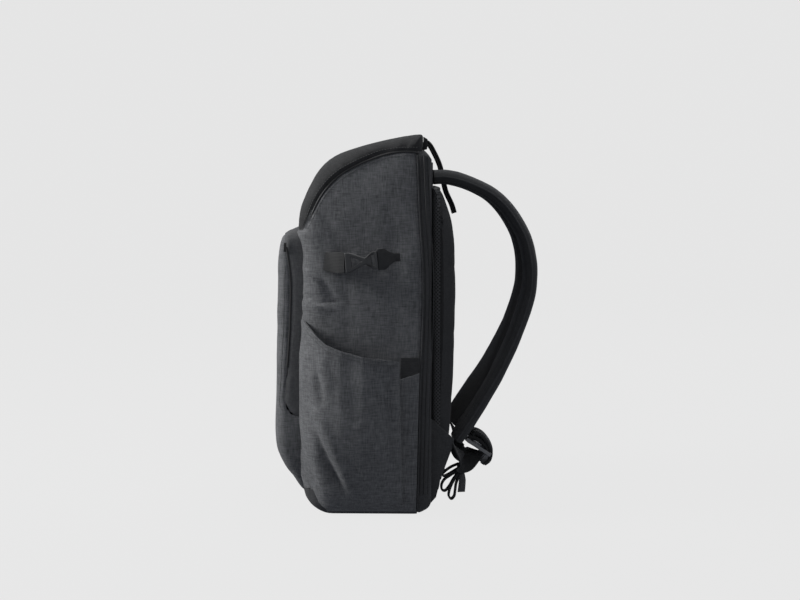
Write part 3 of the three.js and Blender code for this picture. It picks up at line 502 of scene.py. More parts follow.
# Open runs of a skin's border on which a test holds, as lists of point numbers
def borderRuns(points, tris, holds):
    good = holds(points)
    onward = {a: b for a, b in borderEdges(tris) if good[a] and good[b]}
    starts = [a for a in onward if a not in set(onward.values())] or list(onward)[:1]
    runs = []
    for start in starts:
        run = [start]
        while run[-1] in onward and onward[run[-1]] != start:
            run.append(onward.pop(run[-1]))
        runs.append(run)
    return runs


# Spaces a path's points evenly, about a step apart
def evenly(path, step):
    path = np.array(path, float)
    lengths = np.concatenate([[0], np.cumsum(np.linalg.norm(np.diff(path, axis=0), axis=1))])
    keep = np.concatenate([[True], np.diff(lengths) > 1e-6])
    count = max(2, int(round(lengths[-1] / step)) + 1)
    marks = np.linspace(0, lengths[-1], count)
    return np.column_stack([np.interp(marks, lengths[keep], path[keep, k]) for k in range(3)])


def smoothed(path, rounds=3):
    path = np.array(path, float)
    for _ in range(rounds):
        path[1:-1] = path[1:-1] * 0.5 + (path[:-2] + path[2:]) * 0.25
    return path


# A tube of few sides along a path, closed at its ends. swell changes its radius step by step.
def tube(path, radius, sides=8, swell=None):
    path = np.array(path, float)
    count = len(path)
    tangent = np.gradient(path, axis=0)
    tangent /= np.maximum(np.linalg.norm(tangent, axis=1, keepdims=True), 1e-9)
    normal = np.cross(tangent[0], [0.31, 0.52, 0.79])
    points, tris = [], []
    for i in range(count):
        normal = normal - tangent[i] * (normal @ tangent[i])
        normal /= np.linalg.norm(normal)
        other = np.cross(tangent[i], normal)
        size = radius * (swell[i] if swell is not None else 1)
        for k in range(sides):
            turn = 2 * math.pi * k / sides
            points.append(path[i] + (normal * math.cos(turn) + other * math.sin(turn)) * size)
    for i in range(count - 1):
        for k in range(sides):
            a, b = i * sides + k, i * sides + (k + 1) % sides
            tris += [(a, b, b + sides), (a, b + sides, a + sides)]
    tris += [(0, k + 1, k) for k in range(1, sides - 1)]
    top = (count - 1) * sides
    tris += [(top, top + k, top + k + 1) for k in range(1, sides - 1)]
    return np.array(points), np.array(tris)


def joined(meshes):
    points, tris, start = [], [], 0
    for p, t in meshes:
        points.append(p)
        tris.append(t + start)
        start += len(p)
    return np.vstack(points), np.vstack(tris)


# Lays a path on a skin, a little proud of it
def onto(points, tris, path, lift=0.25):
    skin = BVHTree.FromPolygons(points.tolist(), tris.tolist())
    found = [skin.find_nearest(Vector(p)) for p in path]
    return np.array([place + normal * lift for place, normal, _, _ in found])


thread = {"pitch": 3.4, "share": 0.68, "radius": 0.38}
stitchEnds = {"shares": (0, 0.25, 0.75, 1), "swell": (0.3, 1, 1, 0.3)}


def stitched(path):
    marks = evenly(path, thread["pitch"])
    dashes = []
    for a, b in zip(marks, marks[1:]):
        way = (b - a) * thread["share"]
        spots = [a + way * share for share in stitchEnds["shares"]]
        dashes.append(tube(spots, thread["radius"], 6, stitchEnds["swell"]))
    return joined(dashes)


coil = {"step": 1.3, "teeth": 0.16, "shortest": 20}


# A zip's coil is a tube along the seam that swells at each tooth
def coilAlong(path, radius, teeth=coil["teeth"]):
    return tube(path, radius, 8, 1 + teeth * np.cos(np.arange(len(path)) * math.pi))


def seamCoils(points, tris, holds, radius):
    runs = borderRuns(points, tris, holds)
    paths = [evenly(smoothed(points[run]), coil["step"]) for run in runs if len(run) > coil["shortest"]]
    return joined([coilAlong(path, radius) for path in paths])


def shadeSmooth(shape, sharp):
    for face in shape.faces:
        face.smooth = True
    for edge in shape.edges:
        edge.smooth = edge.calc_face_angle(math.pi) < math.radians(sharp)


# Paints a mesh, makes its object under the root and hides the model parts it stands for
def handOver(name, mesh, paint, stands, run):
    if run is not None:
        layer = mesh.attributes.new("run", "FLOAT_VECTOR", "POINT")
        layer.data.foreach_set("vector", np.array(run, np.float32).ravel())
    piece = placed(name, mesh)
    mesh.materials.append(paints[paint])
    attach(piece, "root")
    if stands:
        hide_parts(*stands)
    return piece


# Makes a piece of points in millimetres and triangles
def makePiece(name, points, tris, paint, stands=(), sharp=50, run=None, padFill=None):
    mesh = bpy.data.meshes.new(name)
    mesh.from_pydata((points * mm).tolist(), [], tris.tolist())
    shape = bmesh.new()
    shape.from_mesh(mesh)
    if shape.calc_volume(signed=True) < 0:
        bmesh.ops.reverse_faces(shape, faces=shape.faces)
    shadeSmooth(shape, sharp)
    shape.to_mesh(mesh)
    shape.free()
    piece = handOver(name, mesh, paint, stands, run)


# Inward pinch along a seam, and soft cloth waves. Both move points along their normals.
def pinched(points, tris, field, depth, width):
    away = np.abs(field(points))
    return points - vertexNormals(points, tris) * (depth * np.exp(-(away / width) ** 2))[:, None]


def rippled(points, tris, depth, size, seed, inward=0.6):
    shift = Vector((seed * 13.7, seed * 5.1, seed * 9.3))
    waves = np.array([noise.noise(Vector(p) / size + shift) for p in points])
    fine = np.array([noise.noise(Vector(p) / (size * 0.37) + shift) for p in points])
    amount = (waves + 0.4 * fine - inward) * depth
    return points + vertexNormals(points, tris) * amount[:, None]


# Folds are lines in the side view with a width and a depth, proud where the depth is negative
def folded(points, tris, folds):
    depth = np.zeros(len(points))
    for fold in folds:
        away, share = toLine(points[:, 1:3], np.array(fold["from"], float), np.array(fold["to"], float))
        fade = np.sin(np.clip(share, 0.02, 0.98) * math.pi) ** 0.5
        depth += fold["depth"] * fade * np.exp(-(away / fold["width"]) ** 2)
    return points - vertexNormals(points, tris) * depth[:, None]


# A row is a corner of an outline: its place, how much it is softened, and its share of the rounding
def row(y, z, soften=0.0, edge=1.0):
    return {"y": y, "z": z, "soften": soften, "edge": edge}


def inSide(corner):
    return corner["y"] * bag["depth"], corner["z"] * bag["height"]


chamferY = bag["chamferDepth"] / bag["depth"]
chamferZ = bag["chamferHeight"] / bag["height"]
back = 1 - bag["frontShare"]
shelf = row(0.387, 0.958)    # step behind the lid

# The bag from the side: y and soften as shares of its depth, z of its height
bagRows = [
    row(-bag["frontShare"], chamferZ, 0.124), row(chamferY - bag["frontShare"], 0, 0.087, 0.5),
    row(0.360, 0, 0.040, 0.4), row(back, 0.020, 0.050, 0.36),
    row(back, shelf["z"], 0.025, 0.36), row(shelf["y"], shelf["z"], 0, 0.36),
    row(shelf["y"], 1.003, 0.025, 0.43), row(0.000, 0.975, 0.124, 0.64),
    row(-0.323, 0.939, 0.155, 0.71), row(-0.522, 0.829, 0.155, 0.86), row(-bag["frontShare"], 0.735, 0.093),
]
bagShape = makePillow(
    softOutline(bagRows, inSide, bag["depth"], 5), [inSide(row(-0.06, 0.14)), inSide(row(-0.06, 0.86))],
    bag["width"] / 2, bag["edge"], bag["crown"], bag["depth"] * 0.42)


def sideX(y, z):
    return pillowHalf(bagShape, np.column_stack([np.atleast_1d(y), np.atleast_1d(z)]))


def onPanel(side, y, z, out=0.0):
    return np.column_stack([side * (sideX(y, z) + out), y, z])


# Centripetal curve through points, with its directions
def curveThrough(knots, count):
    knots = np.array(knots, float)
    last = len(knots) - 1
    out, ways = [], []
    for t in np.linspace(0, last, count):
        i = min(int(t), last - 1)
        w = t - i
        p1, p2 = knots[i], knots[i + 1]
        p0 = knots[i - 1] if i > 0 else 2 * knots[0] - knots[1]
        p3 = knots[i + 2] if i + 2 <= last else 2 * knots[last] - knots[last - 1]
        d0, d1, d2 = (max(np.linalg.norm(b - a), 1e-4) ** 0.5 for a, b in ((p0, p1), (p1, p2), (p2, p3)))
        m1 = ((p1 - p0) / d0 - (p2 - p0) / (d0 + d1) + (p2 - p1) / d1) * d1
        m2 = ((p2 - p1) / d1 - (p3 - p1) / (d1 + d2) + (p3 - p2) / d2) * d1
        c2, c3 = -3 * p1 + 3 * p2 - 2 * m1 - m2, 2 * p1 - 2 * p2 + m1 + m2
        out.append(p1 + m1 * w + c2 * w ** 2 + c3 * w ** 3)
        ways.append(m1 + 2 * c2 * w + 3 * c3 * w ** 2)
    ways = np.array(ways)
    return np.array(out), ways / np.linalg.norm(ways, axis=1, keepdims=True)


# Plain curve through a seam's points, as the model's seams are
def seamThrough(knots, count):
    knots = np.array(knots, float)
    last = len(knots) - 1
    out = []
    for t in np.linspace(0, last, count):
        i = min(int(t), last - 1)
        w = t - i
        p0, p1 = knots[max(i - 1, 0)], knots[i]
        p2, p3 = knots[i + 1], knots[min(i + 2, last)]
        v0, v1 = (p2 - p0) / 2, (p3 - p1) / 2
        c2, c3 = -3 * p1 + 3 * p2 - 2 * v0 - v1, 2 * p1 - 2 * p2 + v0 + v1
        out.append(c3 * w ** 3 + c2 * w ** 2 + v0 * w + p1)
    return np.array(out)


lidLine = seamThrough([inSide(row(y, z)) for y, z in (
    (-0.491, 0.748), (-0.460, 0.768), (-0.366, 0.838), (-0.211, 0.895),
    (0.050, 0.940), (0.217, 0.952), (0.389, 0.953))], 60)
backSeam = seamThrough([inSide(row(y, z)) for y, z in (
    (0.342, -0.02), (0.363, 0.307), (0.388, 0.592), (0.360, 0.800), (0.335, 1.02))], 40)


def seamY(z):
    return np.interp(z, backSeam[:, 1], backSeam[:, 0])


far = {"front": frontY - bag["depth"], "back": backY + bag["depth"],
       "top": bag["height"] * 1.2, "bottom": -bag["height"] * 0.2}
ledge = (inSide(shelf)[0] - 0.5, inSide(shelf)[1] + 0.6)
lidField = outlineField([(far["front"], lidLine[0][1]), *[p for p in lidLine if p[0] < ledge[0] - 0.4], ledge,
                         (far["back"], ledge[1]), (far["back"], far["top"]), (far["front"], far["top"])])
backField = outlineField([*backSeam, (far["back"], far["top"]), (far["back"], far["bottom"])])

# The dark base: a thin edge along the floor that rises over the front slope
base = {
    "edge": 4 / bag["height"], "onSide": 0.085, "past": 0.021, "higher": 0.008,
    "skin": 2.5, "shelves": (1.2, 3.0),
}
slopeZ = chamferZ / 2 + base["higher"]
baseField = outlineField([
    (far["front"], far["bottom"]), (far["back"], far["bottom"]), inSide(row(1.4, base["edge"])),
    inSide(row(chamferY + base["past"] + base["onSide"] - bag["frontShare"], base["edge"])),
    inSide(row(chamferY / 2 + base["onSide"] - bag["frontShare"], slopeZ)), inSide(row(-1.5, slopeZ))])


def outside(field):
    return lambda points: -field(points)


# Cuts a skin to a region and adds rows of points beside its seams, so that they can be shaped
def trimmed(points, tris, drops, shelves=(1.2, 3.0, 6.0)):
    for field in drops:
        points, tris = cutMesh(points, tris, outside(field))
    for field in drops:
        for away in shelves:
            points, tris = cutMesh(points, tris, field, away, drop=False)
    return points, tris


bodyLook = {
    "stitchIn": 4.5, "stitchFrom": 18, "stitchTo": 424, "seam": 1.8, "seamWidth": 2.4,
    "ripple": 1.1, "rippleSize": 42, "leanTo": -45, "leanOver": 25,
    "lean": [(0, -1.5), (4, -3.5), (11, -7), (19, -8.5), (31, -6.5), (45, -3), (58, 0), (205, 0), (232, 1.2),
             (265, 2.0), (290, 3.3), (314, 3.3), (325, 1.5), (338, -2.5), (352, -3)],
    "folds": [
        {"from": (-83, 261), "to": (-36, 256), "width": 3.2, "depth": 4.2},
        {"from": (-80, 254), "to": (-44, 248), "width": 4.4, "depth": -2.4},
        {"from": (-80, 300), "to": (-54, 268), "width": 4.6, "depth": -3.4},
        {"from": (-72, 300), "to": (-44, 262), "width": 4.6, "depth": 3.4},
        {"from": (-86, 244), "to": (-56, 222), "width": 4.0, "depth": 2.2},
        {"from": (-84, 236), "to": (-60, 214), "width": 4.5, "depth": -1.6},
        {"from": (-30, 330), "to": (-24, 215), "width": 8.0, "depth": 1.3},
        {"from": (26, 400), "to": (32, 205), "width": 10.0, "depth": 1.2},
        {"from": (-62, 376), "to": (-34, 318), "width": 7.0, "depth": 1.2},
        {"from": (40, 300), "to": (14, 262), "width": 7.0, "depth": 1.1},
    ],
}
bagPoints, bagTris = pillowMesh(bagShape, capSteps=24)


# The soft front gives a little: a table of heights and shifts backwards
def leaned(points, table, reach):
    forward = np.clip((reach - points[:, 1]) / bodyLook["leanOver"], 0, 1)
    heights, shifts = np.array(table).T
    moved = points.copy()
    moved[:, 1] += forward * np.interp(points[:, 2], heights, shifts)
    return moved


def makeBody():
    points, tris = trimmed(bagPoints, bagTris, [lidField, backField, baseField])
    points = folded(leaned(points, bodyLook["lean"], bodyLook["leanTo"]), tris, bodyLook["folds"])
    points = rippled(points, tris, bodyLook["ripple"], bodyLook["rippleSize"], 3)
    for field in (lidField, backField):
        points = pinched(points, tris, field, bodyLook["seam"], bodyLook["seamWidth"])
    makePiece("bodyCloth", *thicken(points, tris, bag["skin"]), "greyCloth", ["main_body"])
    rows = []
    for side in (1, -1):
        z = np.linspace(bodyLook["stitchFrom"], bodyLook["stitchTo"], 200)
        rows.append(stitched(onto(points, tris, onPanel(side, seamY(z) - bodyLook["stitchIn"], z))))
        y, z = lidLine[8:, 0] + 2, lidLine[8:, 1] - bodyLook["stitchIn"]
        rows.append(stitched(onto(points, tris, onPanel(side, y, z))))
    makePiece("bodyStitches", *joined(rows), "thread")


lidLook = {
    "stitchUp": 4.5, "stitchForward": 3.5, "stitchOut": 2, "seam": 1.2, "seamWidth": 1.8, "coil": 1.3,
    "ripple": 0.8, "rippleSize": 60, "proud": 3.0, "roll": 5.0, "droop": 3.5, "droopFrom": 36, "fade": 30,
    "folds": [
        {"from": (-84, 372), "to": (-66, 402), "width": 4.5, "depth": 1.2},
        {"from": (-58, 404), "to": (-36, 425), "width": 5.0, "depth": 0.9},
        {"from": (-14, 425), "to": (30, 441), "width": 4.0, "depth": 1.2},
        {"from": (40, 438), "to": (46, 452), "width": 4.0, "depth": 1.4},
    ],
}


def makeLid():
    points, tris = trimmed(bagPoints, bagTris, [outside(lidField)])
    points = rippled(points, tris, lidLook["ripple"], lidLook["rippleSize"], 5, 0.3)
    points = folded(points, tris, lidLook["folds"])
    roll = 1 - np.exp(-(lidField(points) / lidLook["roll"]) ** 2)
    sideways = vertexNormals(points, tris)[:, 0] * np.clip((ledge[0] - points[:, 1]) / lidLook["fade"], 0, 1)
    points[:, 0] += sideways * lidLook["proud"] * roll
    rearward = np.clip((points[:, 1] - lidLook["droopFrom"]) / lidLook["fade"], 0, 1)
    points[:, 2] -= lidLook["droop"] * rearward ** 2
    points = pinched(points, tris, lidField, lidLook["seam"], lidLook["seamWidth"])
    makePiece("lidCloth", *thicken(points, tris, bag["skin"]), "lidCloth", ["lid"])
    rows = []
    for side in (1, -1):
        y, z = lidLine[2:-1, 0] - lidLook["stitchForward"], lidLine[2:-1, 1] + lidLook["stitchUp"]
        rows.append(stitched(onto(points, tris, onPanel(side, y, z, lidLook["stitchOut"]))))
    makePiece("lidStitches", *joined(rows), "thread")

    def onSeam(p):
        return (np.abs(lidField(p)) < 2) & (p[:, 1] < ledge[0] - 1)

    makePiece("lidZip", *seamCoils(points, tris, onSeam, lidLook["coil"]), "zipCoil", sharp=80)


rearLook = {
    "ripple": 0.5, "rippleSize": 50, "seam": 1.2, "seamWidth": 2.0,
    "cornerDrop": 13, "cornerFrom": (60, 415), "cornerOver": (13, 22),
}


def makeRear():
    points, tris = trimmed(bagPoints, bagTris, [outside(backField), lidField])
    points = rippled(points, tris, rearLook["ripple"], rearLook["rippleSize"], 8)
    points = pinched(points, tris, backField, rearLook["seam"], rearLook["seamWidth"])
    corner = np.clip((points[:, 1:3] - rearLook["cornerFrom"]) / rearLook["cornerOver"], 0, 1).prod(axis=1)
    points[:, 2] -= rearLook["cornerDrop"] * corner ** 2
    makePiece("rearCloth", *thicken(points, tris, bag["skin"]), "blackCloth", ["rear_frame"])


def makeBase():
    points, tris = trimmed(bagPoints, bagTris, [outside(baseField), backField], base["shelves"])
    points = leaned(points, bodyLook["lean"], bodyLook["leanTo"])
    makePiece("baseCloth", *thicken(points, tris, base["skin"]), "blackCloth", ["base_panel"])


makeBody()
makeLid()
makeRear()
makeBase()
print("bag body made")

# Black piping and the back zip run up both sides, just behind the grey side panels
rearTrim = {
    "piping": 1.1, "pipingFrom": 8, "to": 430, "pipingBehind": 0.2, "pipingSunk": 0.5,
    "zipFrom": 26, "zipBehind": 8.0, "zipSunk": 0.3, "coil": 1.3, "tape": 4.6, "tapeRadius": 0.7,
}


def makeRearTrim():
    heights = np.linspace(rearTrim["pipingFrom"], rearTrim["to"], 180)
    marks = np.arange(rearTrim["zipFrom"], rearTrim["to"], coil["step"])
    tape, tapeRadius = rearTrim["tape"], rearTrim["tapeRadius"]
    zipLines = ((0, rearTrim["coil"], coil["teeth"]), (-tape, tapeRadius, 0), (tape, tapeRadius, 0))
    for name, side in (("right", 1), ("left", -1)):
        path = onPanel(side, seamY(heights) + rearTrim["pipingBehind"], heights, -rearTrim["pipingSunk"])
        makePiece(f"rearPiping_{name}", *tube(path, rearTrim["piping"], 8), "blackCloth")
        lines = []
        for shift, radius, teeth in zipLines:
            path = onPanel(side, seamY(marks) + rearTrim["zipBehind"] + shift, marks, -rearTrim["zipSunk"])
            lines.append(coilAlong(path, radius, teeth))
        makePiece(f"rearZip_{name}", *joined(lines), "zipCoil", sharp=80)


makeRearTrim()
print("rear trim made")

# Front pocket: y as shares of its depth in front of the panel, z of the bag's height
pocket = {
    "depth": 31.5, "width": 252, "edge": 14, "skin": 3, "sunk": 12, "coil": 1.4,
    "cornerTop": 88, "cornerFoot": 15, "cornerCut": 0.42,
    "lean": [(17, 6), (40, 6), (60, 4.5), (75, 2), (95, 0)],
    "crown": 1.5, "sideFall": 4.9, "flatTo": 112, "topFrom": 296, "topTo": 345, "topSlope": 7.5, "topDrop": 6.0,
    "ripple": 0.8, "rippleSize": 50, "seam": 1.2, "seamWidth": 2.2, "bandSeam": 1.6, "bandSeamWidth": 3.0,
    "stitchOut": 124.0, "stitchFrom": 125, "stitchTo": 300, "stitchIn": 3,
    "stitchLine": [(117, -96), (132, -109.5), (215, -102.5), (292, -100)],
}


def inPocket(corner):
    return frontY - corner["y"] * pocket["depth"], corner["z"] * bag["height"]


pocketShape = makePillow(
    softOutline([row(-0.89, 0.037), row(-0.13, 0.037, 0.3), row(1.00, 0.145, 0.65), row(0.80, 0.757, 0.45),
                 row(-0.89, 0.757)], inPocket, pocket["depth"], 5),
    [inPocket(row(-0.5, 0.14)), inPocket(row(-0.5, 0.65))],
    pocket["width"] / 2, pocket["edge"], 0, pocket["depth"])
bandField = outlineField([p[0] for p in softOutline([
    row(-1.2, 0.257), row(0.16, 0.257, 0.25), row(0.51, 0.290, 0.25), row(0.29, 0.471, 0.9),
    row(0.22, 0.640, 0.9), row(0.51, 0.732, 0.3), row(0.76, 0.790), row(-1.2, 0.790)],
    inPocket, pocket["depth"], 12)])


def makeFrontPocket():
    whole, wholeTris = pillowMesh(pocketShape, across=34, capSteps=4)
    whole, wholeTris = cutMesh(whole, wholeTris, lambda p: p[:, 1] - frontY - pocket["sunk"])
    low = (pocket["cornerTop"] - whole[:, 2]) / (pocket["cornerTop"] - pocket["cornerFoot"])
    whole[:, 0] *= 1 - pocket["cornerCut"] * (1 - np.sqrt(1 - np.clip(low, 0, 1) ** 2))
    forward = np.clip((frontY - whole[:, 1]) / pocket["depth"], 0, 1)
    bow = pocket["sideFall"] * (whole[:, 0] / pocket["flatTo"]) ** 2 - pocket["crown"]
    high = np.clip((whole[:, 2] - pocket["topFrom"]) / (pocket["topTo"] - pocket["topFrom"]), 0, 1)
    whole[:, 1] += forward * (bow + pocket["topSlope"] * high ** 2)
    whole[:, 2] -= pocket["topDrop"] * high
    whole = leaned(whole, pocket["lean"], frontY + pocket["sunk"])
    points, tris = trimmed(whole, wholeTris, [bandField])
    points = rippled(points, tris, pocket["ripple"], pocket["rippleSize"], 11, 0.2)
    points = pinched(points, tris, bandField, pocket["seam"], pocket["seamWidth"])
    makePiece("frontPocketCloth", *thicken(points, tris, pocket["skin"]), "greyCloth", ["front_pocket"])
    band, bandTris = trimmed(whole, wholeTris, [outside(bandField)])
    band = pinched(band, bandTris, bandField, pocket["bandSeam"], pocket["bandSeamWidth"])
    makePiece("frontGusset", *thicken(band, bandTris, pocket["skin"]), "gussetCloth", ["front_pocket_gusset"])

    def onSeam(p):
        return (np.abs(bandField(p)) < 0.6) & (p[:, 1] < frontY - 1)

    makePiece("frontZip", *seamCoils(band, bandTris, onSeam, pocket["coil"]), "zipCoil", sharp=80)
    z = np.linspace(pocket["stitchFrom"], pocket["stitchTo"], 90)
    y = np.interp(z, *np.array(pocket["stitchLine"]).T) - pocket["stitchIn"]
    paths = [np.column_stack([np.full(len(z), side * pocket["stitchOut"]), y, z]) for side in (1, -1)]
    makePiece("frontStitches", *joined([stitched(onto(points, tris, path)) for path in paths]), "thread")


makeFrontPocket()
print("front pocket made")

# Side pocket: a row for each upright line from its front edge (0) to the back seam (1).
# top is a share of the bag's height, bulge of the pocket's bulge.
sidePocket = {
    "bulge": 25, "mouthFrom": 0.55, "mouthIn": 0.08, "foot": 5.2, "cloth": 2.2, "clear": 0.7, "seamGap": 1.2,
    "hem": 9, "hemRise": 0.8, "lip": 4.4, "pleat": 0.862, "pleatHalf": 0.009, "pleatLean": 4.5,
    "pleatWidth": 0.06, "ripple": 0.9, "rippleSize": 30, "stitchFrom": 0.03, "stitchBelow": (6.0, 2.2),
    "frontEdge": [
        (4, -51), (9, -54.5), (12, -58.5), (23, -68.2), (38, -75.4), (56, -79.6), (72, -81.8), (88, -83.6),
        (112, -86.1), (152, -86.9), (192, -86.0), (224, -81.4), (235, -80.5),
    ],
    "rows": [
        (0.00, 0.513, 0.00), (0.05, 0.500, 0.26), (0.12, 0.482, 0.52), (0.22, 0.457, 0.80), (0.36, 0.441, 0.98),
        (0.53, 0.426, 1.00), (0.69, 0.419, 0.85), (0.80, 0.414, 0.58), (0.855, 0.410, 0.36),
        (0.870, 0.361, 0.06), (0.93, 0.369, 0.03), (1.00, 0.377, 0.00),
    ],
    "folds": [
        {"from": (-84, 168), "to": (-70, 110), "width": 6, "depth": 2.6},
        {"from": (-76, 124), "to": (-32, 26), "width": 5.2, "depth": 7.0},
        {"from": (-62, 128), "to": (-22, 36), "width": 7, "depth": -4.4},
        {"from": (-82, 108), "to": (-54, 34), "width": 7, "depth": -2.6},
        {"from": (-68, 190), "to": (-56, 136), "width": 5, "depth": 3.8},
        {"from": (-58, 196), "to": (-46, 150), "width": 6, "depth": -1.6},
        {"from": (-84, 146), "to": (-62, 130), "width": 4, "depth": 1.8},
        {"from": (-24, 200), "to": (-16, 110), "width": 10, "depth": 1.9},
        {"from": (-6, 120), "to": (10, 30), "width": 9, "depth": 1.8},
        {"from": (14, 190), "to": (24, 60), "width": 8, "depth": 2.2},
        {"from": (30, 186), "to": (34, 30), "width": 4, "depth": -1.6},
        {"from": (51, 166), "to": (43, 30), "width": 5, "depth": 2.0},
        {"from": (-50, 60), "to": (-10, 14), "width": 6, "depth": 1.6},
    ],
}


# Triangles of a sheet whose points lie in rows and columns
def sheetTris(shape):
    number = np.arange(shape[0] * shape[1]).reshape(shape)
    a, b, c, d = number[:-1, :-1], number[1:, :-1], number[1:, 1:], number[:-1, 1:]
    halves = ((a, b, c), (a, c, d))
    return np.vstack([np.column_stack([corner.ravel() for corner in half]) for half in halves])


def makeSidePocket(name, side):
    shares, tops, bulges = np.array(sidePocket["rows"]).T
    pleat, foot, mouthFrom = (sidePocket[key] for key in ("pleat", "foot", "mouthFrom"))
    us = np.linspace(pleat - sidePocket["pleatHalf"], pleat + sidePocket["pleatHalf"], 9)
    us = np.unique(np.concatenate([np.linspace(0, 1, 80), us]))
    vs = np.linspace(0, 1, 70)
    u, v = np.meshgrid(us, vs, indexing="ij")
    top = np.interp(u, shares, tops) * bag["height"]
    z = foot + (top - foot) * v
    front = np.interp(z, *np.array(sidePocket["frontEdge"]).T)
    y = front + (seamY(z) - sidePocket["seamGap"] - front) * u
    y -= sidePocket["pleatLean"] * v ** 2 * np.exp(-((u - pleat) / sidePocket["pleatWidth"]) ** 2)
    drawnIn = 1 - sidePocket["mouthIn"] * np.maximum(0, v - mouthFrom) / (1 - mouthFrom)
    full = np.interp(u, shares, bulges) * np.sin(np.minimum(v * 1.9, 1) * math.pi / 2) * drawnIn
    lip = np.where(u < pleat, np.clip(u * 8, 0, 1), 0) * np.clip(v * 9, 0, 1)
    base = sideX(y.ravel(), z.ravel()).reshape(u.shape)
    x = base + sidePocket["clear"] + full * sidePocket["bulge"] + lip * sidePocket["lip"]
    points = np.column_stack([side * (x + sidePocket["cloth"]).ravel(), y.ravel(), z.ravel()])
    tris = sheetTris(u.shape)
    if side < 0:
        tris = tris[:, ::-1]
    loose = np.clip(full.ravel() * 2.2, 0, 1)[:, None]
    moved = folded(points, tris, sidePocket["folds"])
    moved = rippled(moved, tris, sidePocket["ripple"], sidePocket["rippleSize"], 17 + side, 0.15)
    moved = points + (moved - points) * loose
    hem = np.exp(-(((top - z).ravel()) / sidePocket["hem"]) ** 6)[:, None]
    moved += vertexNormals(moved, tris) * hem * sidePocket["hemRise"] * loose
    makePiece(f"sidePocketCloth_{name}", *thicken(moved, tris, sidePocket["cloth"]), "greyCloth",
              [f"side_pocket_{name}"])
    skin = moved.reshape(*u.shape, 3)
    rows = []
    for below in sidePocket["stitchBelow"]:
        path = []
        for i in np.flatnonzero((us > sidePocket["stitchFrom"]) & (us < pleat - 0.01)):
            spot = (1 - below / (top[i, 0] - foot)) * (len(vs) - 1)
            low = int(spot)
            path.append(skin[i, low] + (skin[i, low + 1] - skin[i, low]) * (spot - low))
        rows.append(stitched(onto(moved, tris, path)))
    makePiece(f"pocketStitches_{name}", *joined(rows), "thread")


# below: the dark elastic sheet runs this far under the elastic, a dark sheet put as painted shade in the gap
# below it
elastic = {"lead": 6, "below": 8, "gather": 0.12, "ribs": 9, "out": 1.6, "thick": 1.1}


def makeElasticAndGapShade(name, side):
    low, high = (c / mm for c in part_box(f"pocket_elastic_{name}"))
    us, vs = np.linspace(0, 1, 12), np.linspace(0, 1, 20)
    v, u = np.meshgrid(vs, us, indexing="ij")
    # the part below the elastic is painted shade: a dark sheet where the gap is in shadow
    z = low.z - elastic["below"] + (high.z - low.z + elastic["below"]) * v
    start = low.y - elastic["lead"]
    y = start + (seamY(z) - sidePocket["seamGap"] - start) * u
    gather = elastic["gather"] * np.sin(v * 2 * math.pi * elastic["ribs"])
    x = sideX(y.ravel(), z.ravel()).reshape(u.shape) + elastic["out"] + gather
    points = np.column_stack([side * x.ravel(), y.ravel(), z.ravel()])
    tris = sheetTris(u.shape)
    if side > 0:
        tris = tris[:, ::-1]
    run = np.column_stack([(v * (high.z - low.z)).ravel(), (u * (high.y - low.y)).ravel(), 0 * u.ravel()])
    points, tris = thicken(points, tris, elastic["thick"])
    run = np.vstack([run, run])
    makePiece(f"pocketElasticAndGapShade_{name}", points, tris, "elastic", [f"pocket_elastic_{name}"], run=run)


for name, side in (("right", 1), ("left", -1)):
    makeSidePocket(name, side)
    makeElasticAndGapShade(name, side)
print("side pockets made")

# Back pad: y as shares of its depth behind the panel, z of the bag's height
pad = {
    "depth": 30, "width": 236, "edge": 22, "rim": 10.5, "gap": 0.3, "skin": 3,
    "channelWidth": 30, "channelDepth": 10, "channelEase": 6, "channelFrom": 4,
    "seam": 1.6, "seamWidth": 2.0, "ripple": 0.7, "rippleSize": 40,
    "grooves": [{"from": (74, z), "to": (118, z), "width": 4, "depth": 0.4} for z in (135, 215, 295)],
}


def inPad(corner):
    return backY + pad["gap"] + corner["y"] * pad["depth"], corner["z"] * bag["height"]


padShape = makePillow(
    softOutline([row(0, 0.050, 0, 0.3), row(0.28, 0.050, 0.15, 0.6), row(0.78, 0.215, 0.9),
                 row(0.99, 0.526, 2.0), row(0.92, 0.757, 0.75), row(0.33, 0.861, 0.1, 0.6),
                 row(0, 0.861, 0, 0.3)],
                inPad, pad["depth"], 4),
    [inPad(row(0.1, 0.15)), inPad(row(0.1, 0.75))], pad["width"] / 2, pad["edge"], 0, pad["depth"])


def makePad():
    points, tris = pillowMesh(padShape, edgeSteps=9, capSteps=4, across=64)
    rimY = backY + pad["rim"]
    ease = pad["channelEase"]
    lane = np.clip((pad["channelWidth"] / 2 + ease / 2 - np.abs(points[:, 0])) / ease, 0, 1)
    lane = lane * lane * (3 - 2 * lane)
    sink = np.minimum(pad["channelDepth"], np.maximum(points[:, 1] - backY - pad["channelFrom"], 0))
    points[:, 1] -= lane * sink
    rim, rimTris = cutMesh(points, tris, lambda p: p[:, 1] - rimY)
    cushion, cushionTris = cutMesh(points, tris, lambda p: rimY - p[:, 1])
    for away in (1.0, 2.5, 5.0):
        cushion, cushionTris = cutMesh(cushion, cushionTris, lambda p: rimY + away - p[:, 1], drop=False)
    cushion = pinched(cushion, cushionTris, lambda p: p[:, 1] - rimY, pad["seam"], pad["seamWidth"])
    cushion = folded(cushion, cushionTris, pad["grooves"])
    cushion = rippled(cushion, cushionTris, pad["ripple"], pad["rippleSize"], 23, 0.5)
    makePiece("padRim", *thicken(rim, rimTris, pad["skin"]), "airMesh")
    skin = thicken(cushion, cushionTris, pad["skin"])
    makePiece("padCushion", *skin, "strapCloth", ["back_pad"], padFill=0.8)


makePad()
print("back pad made")


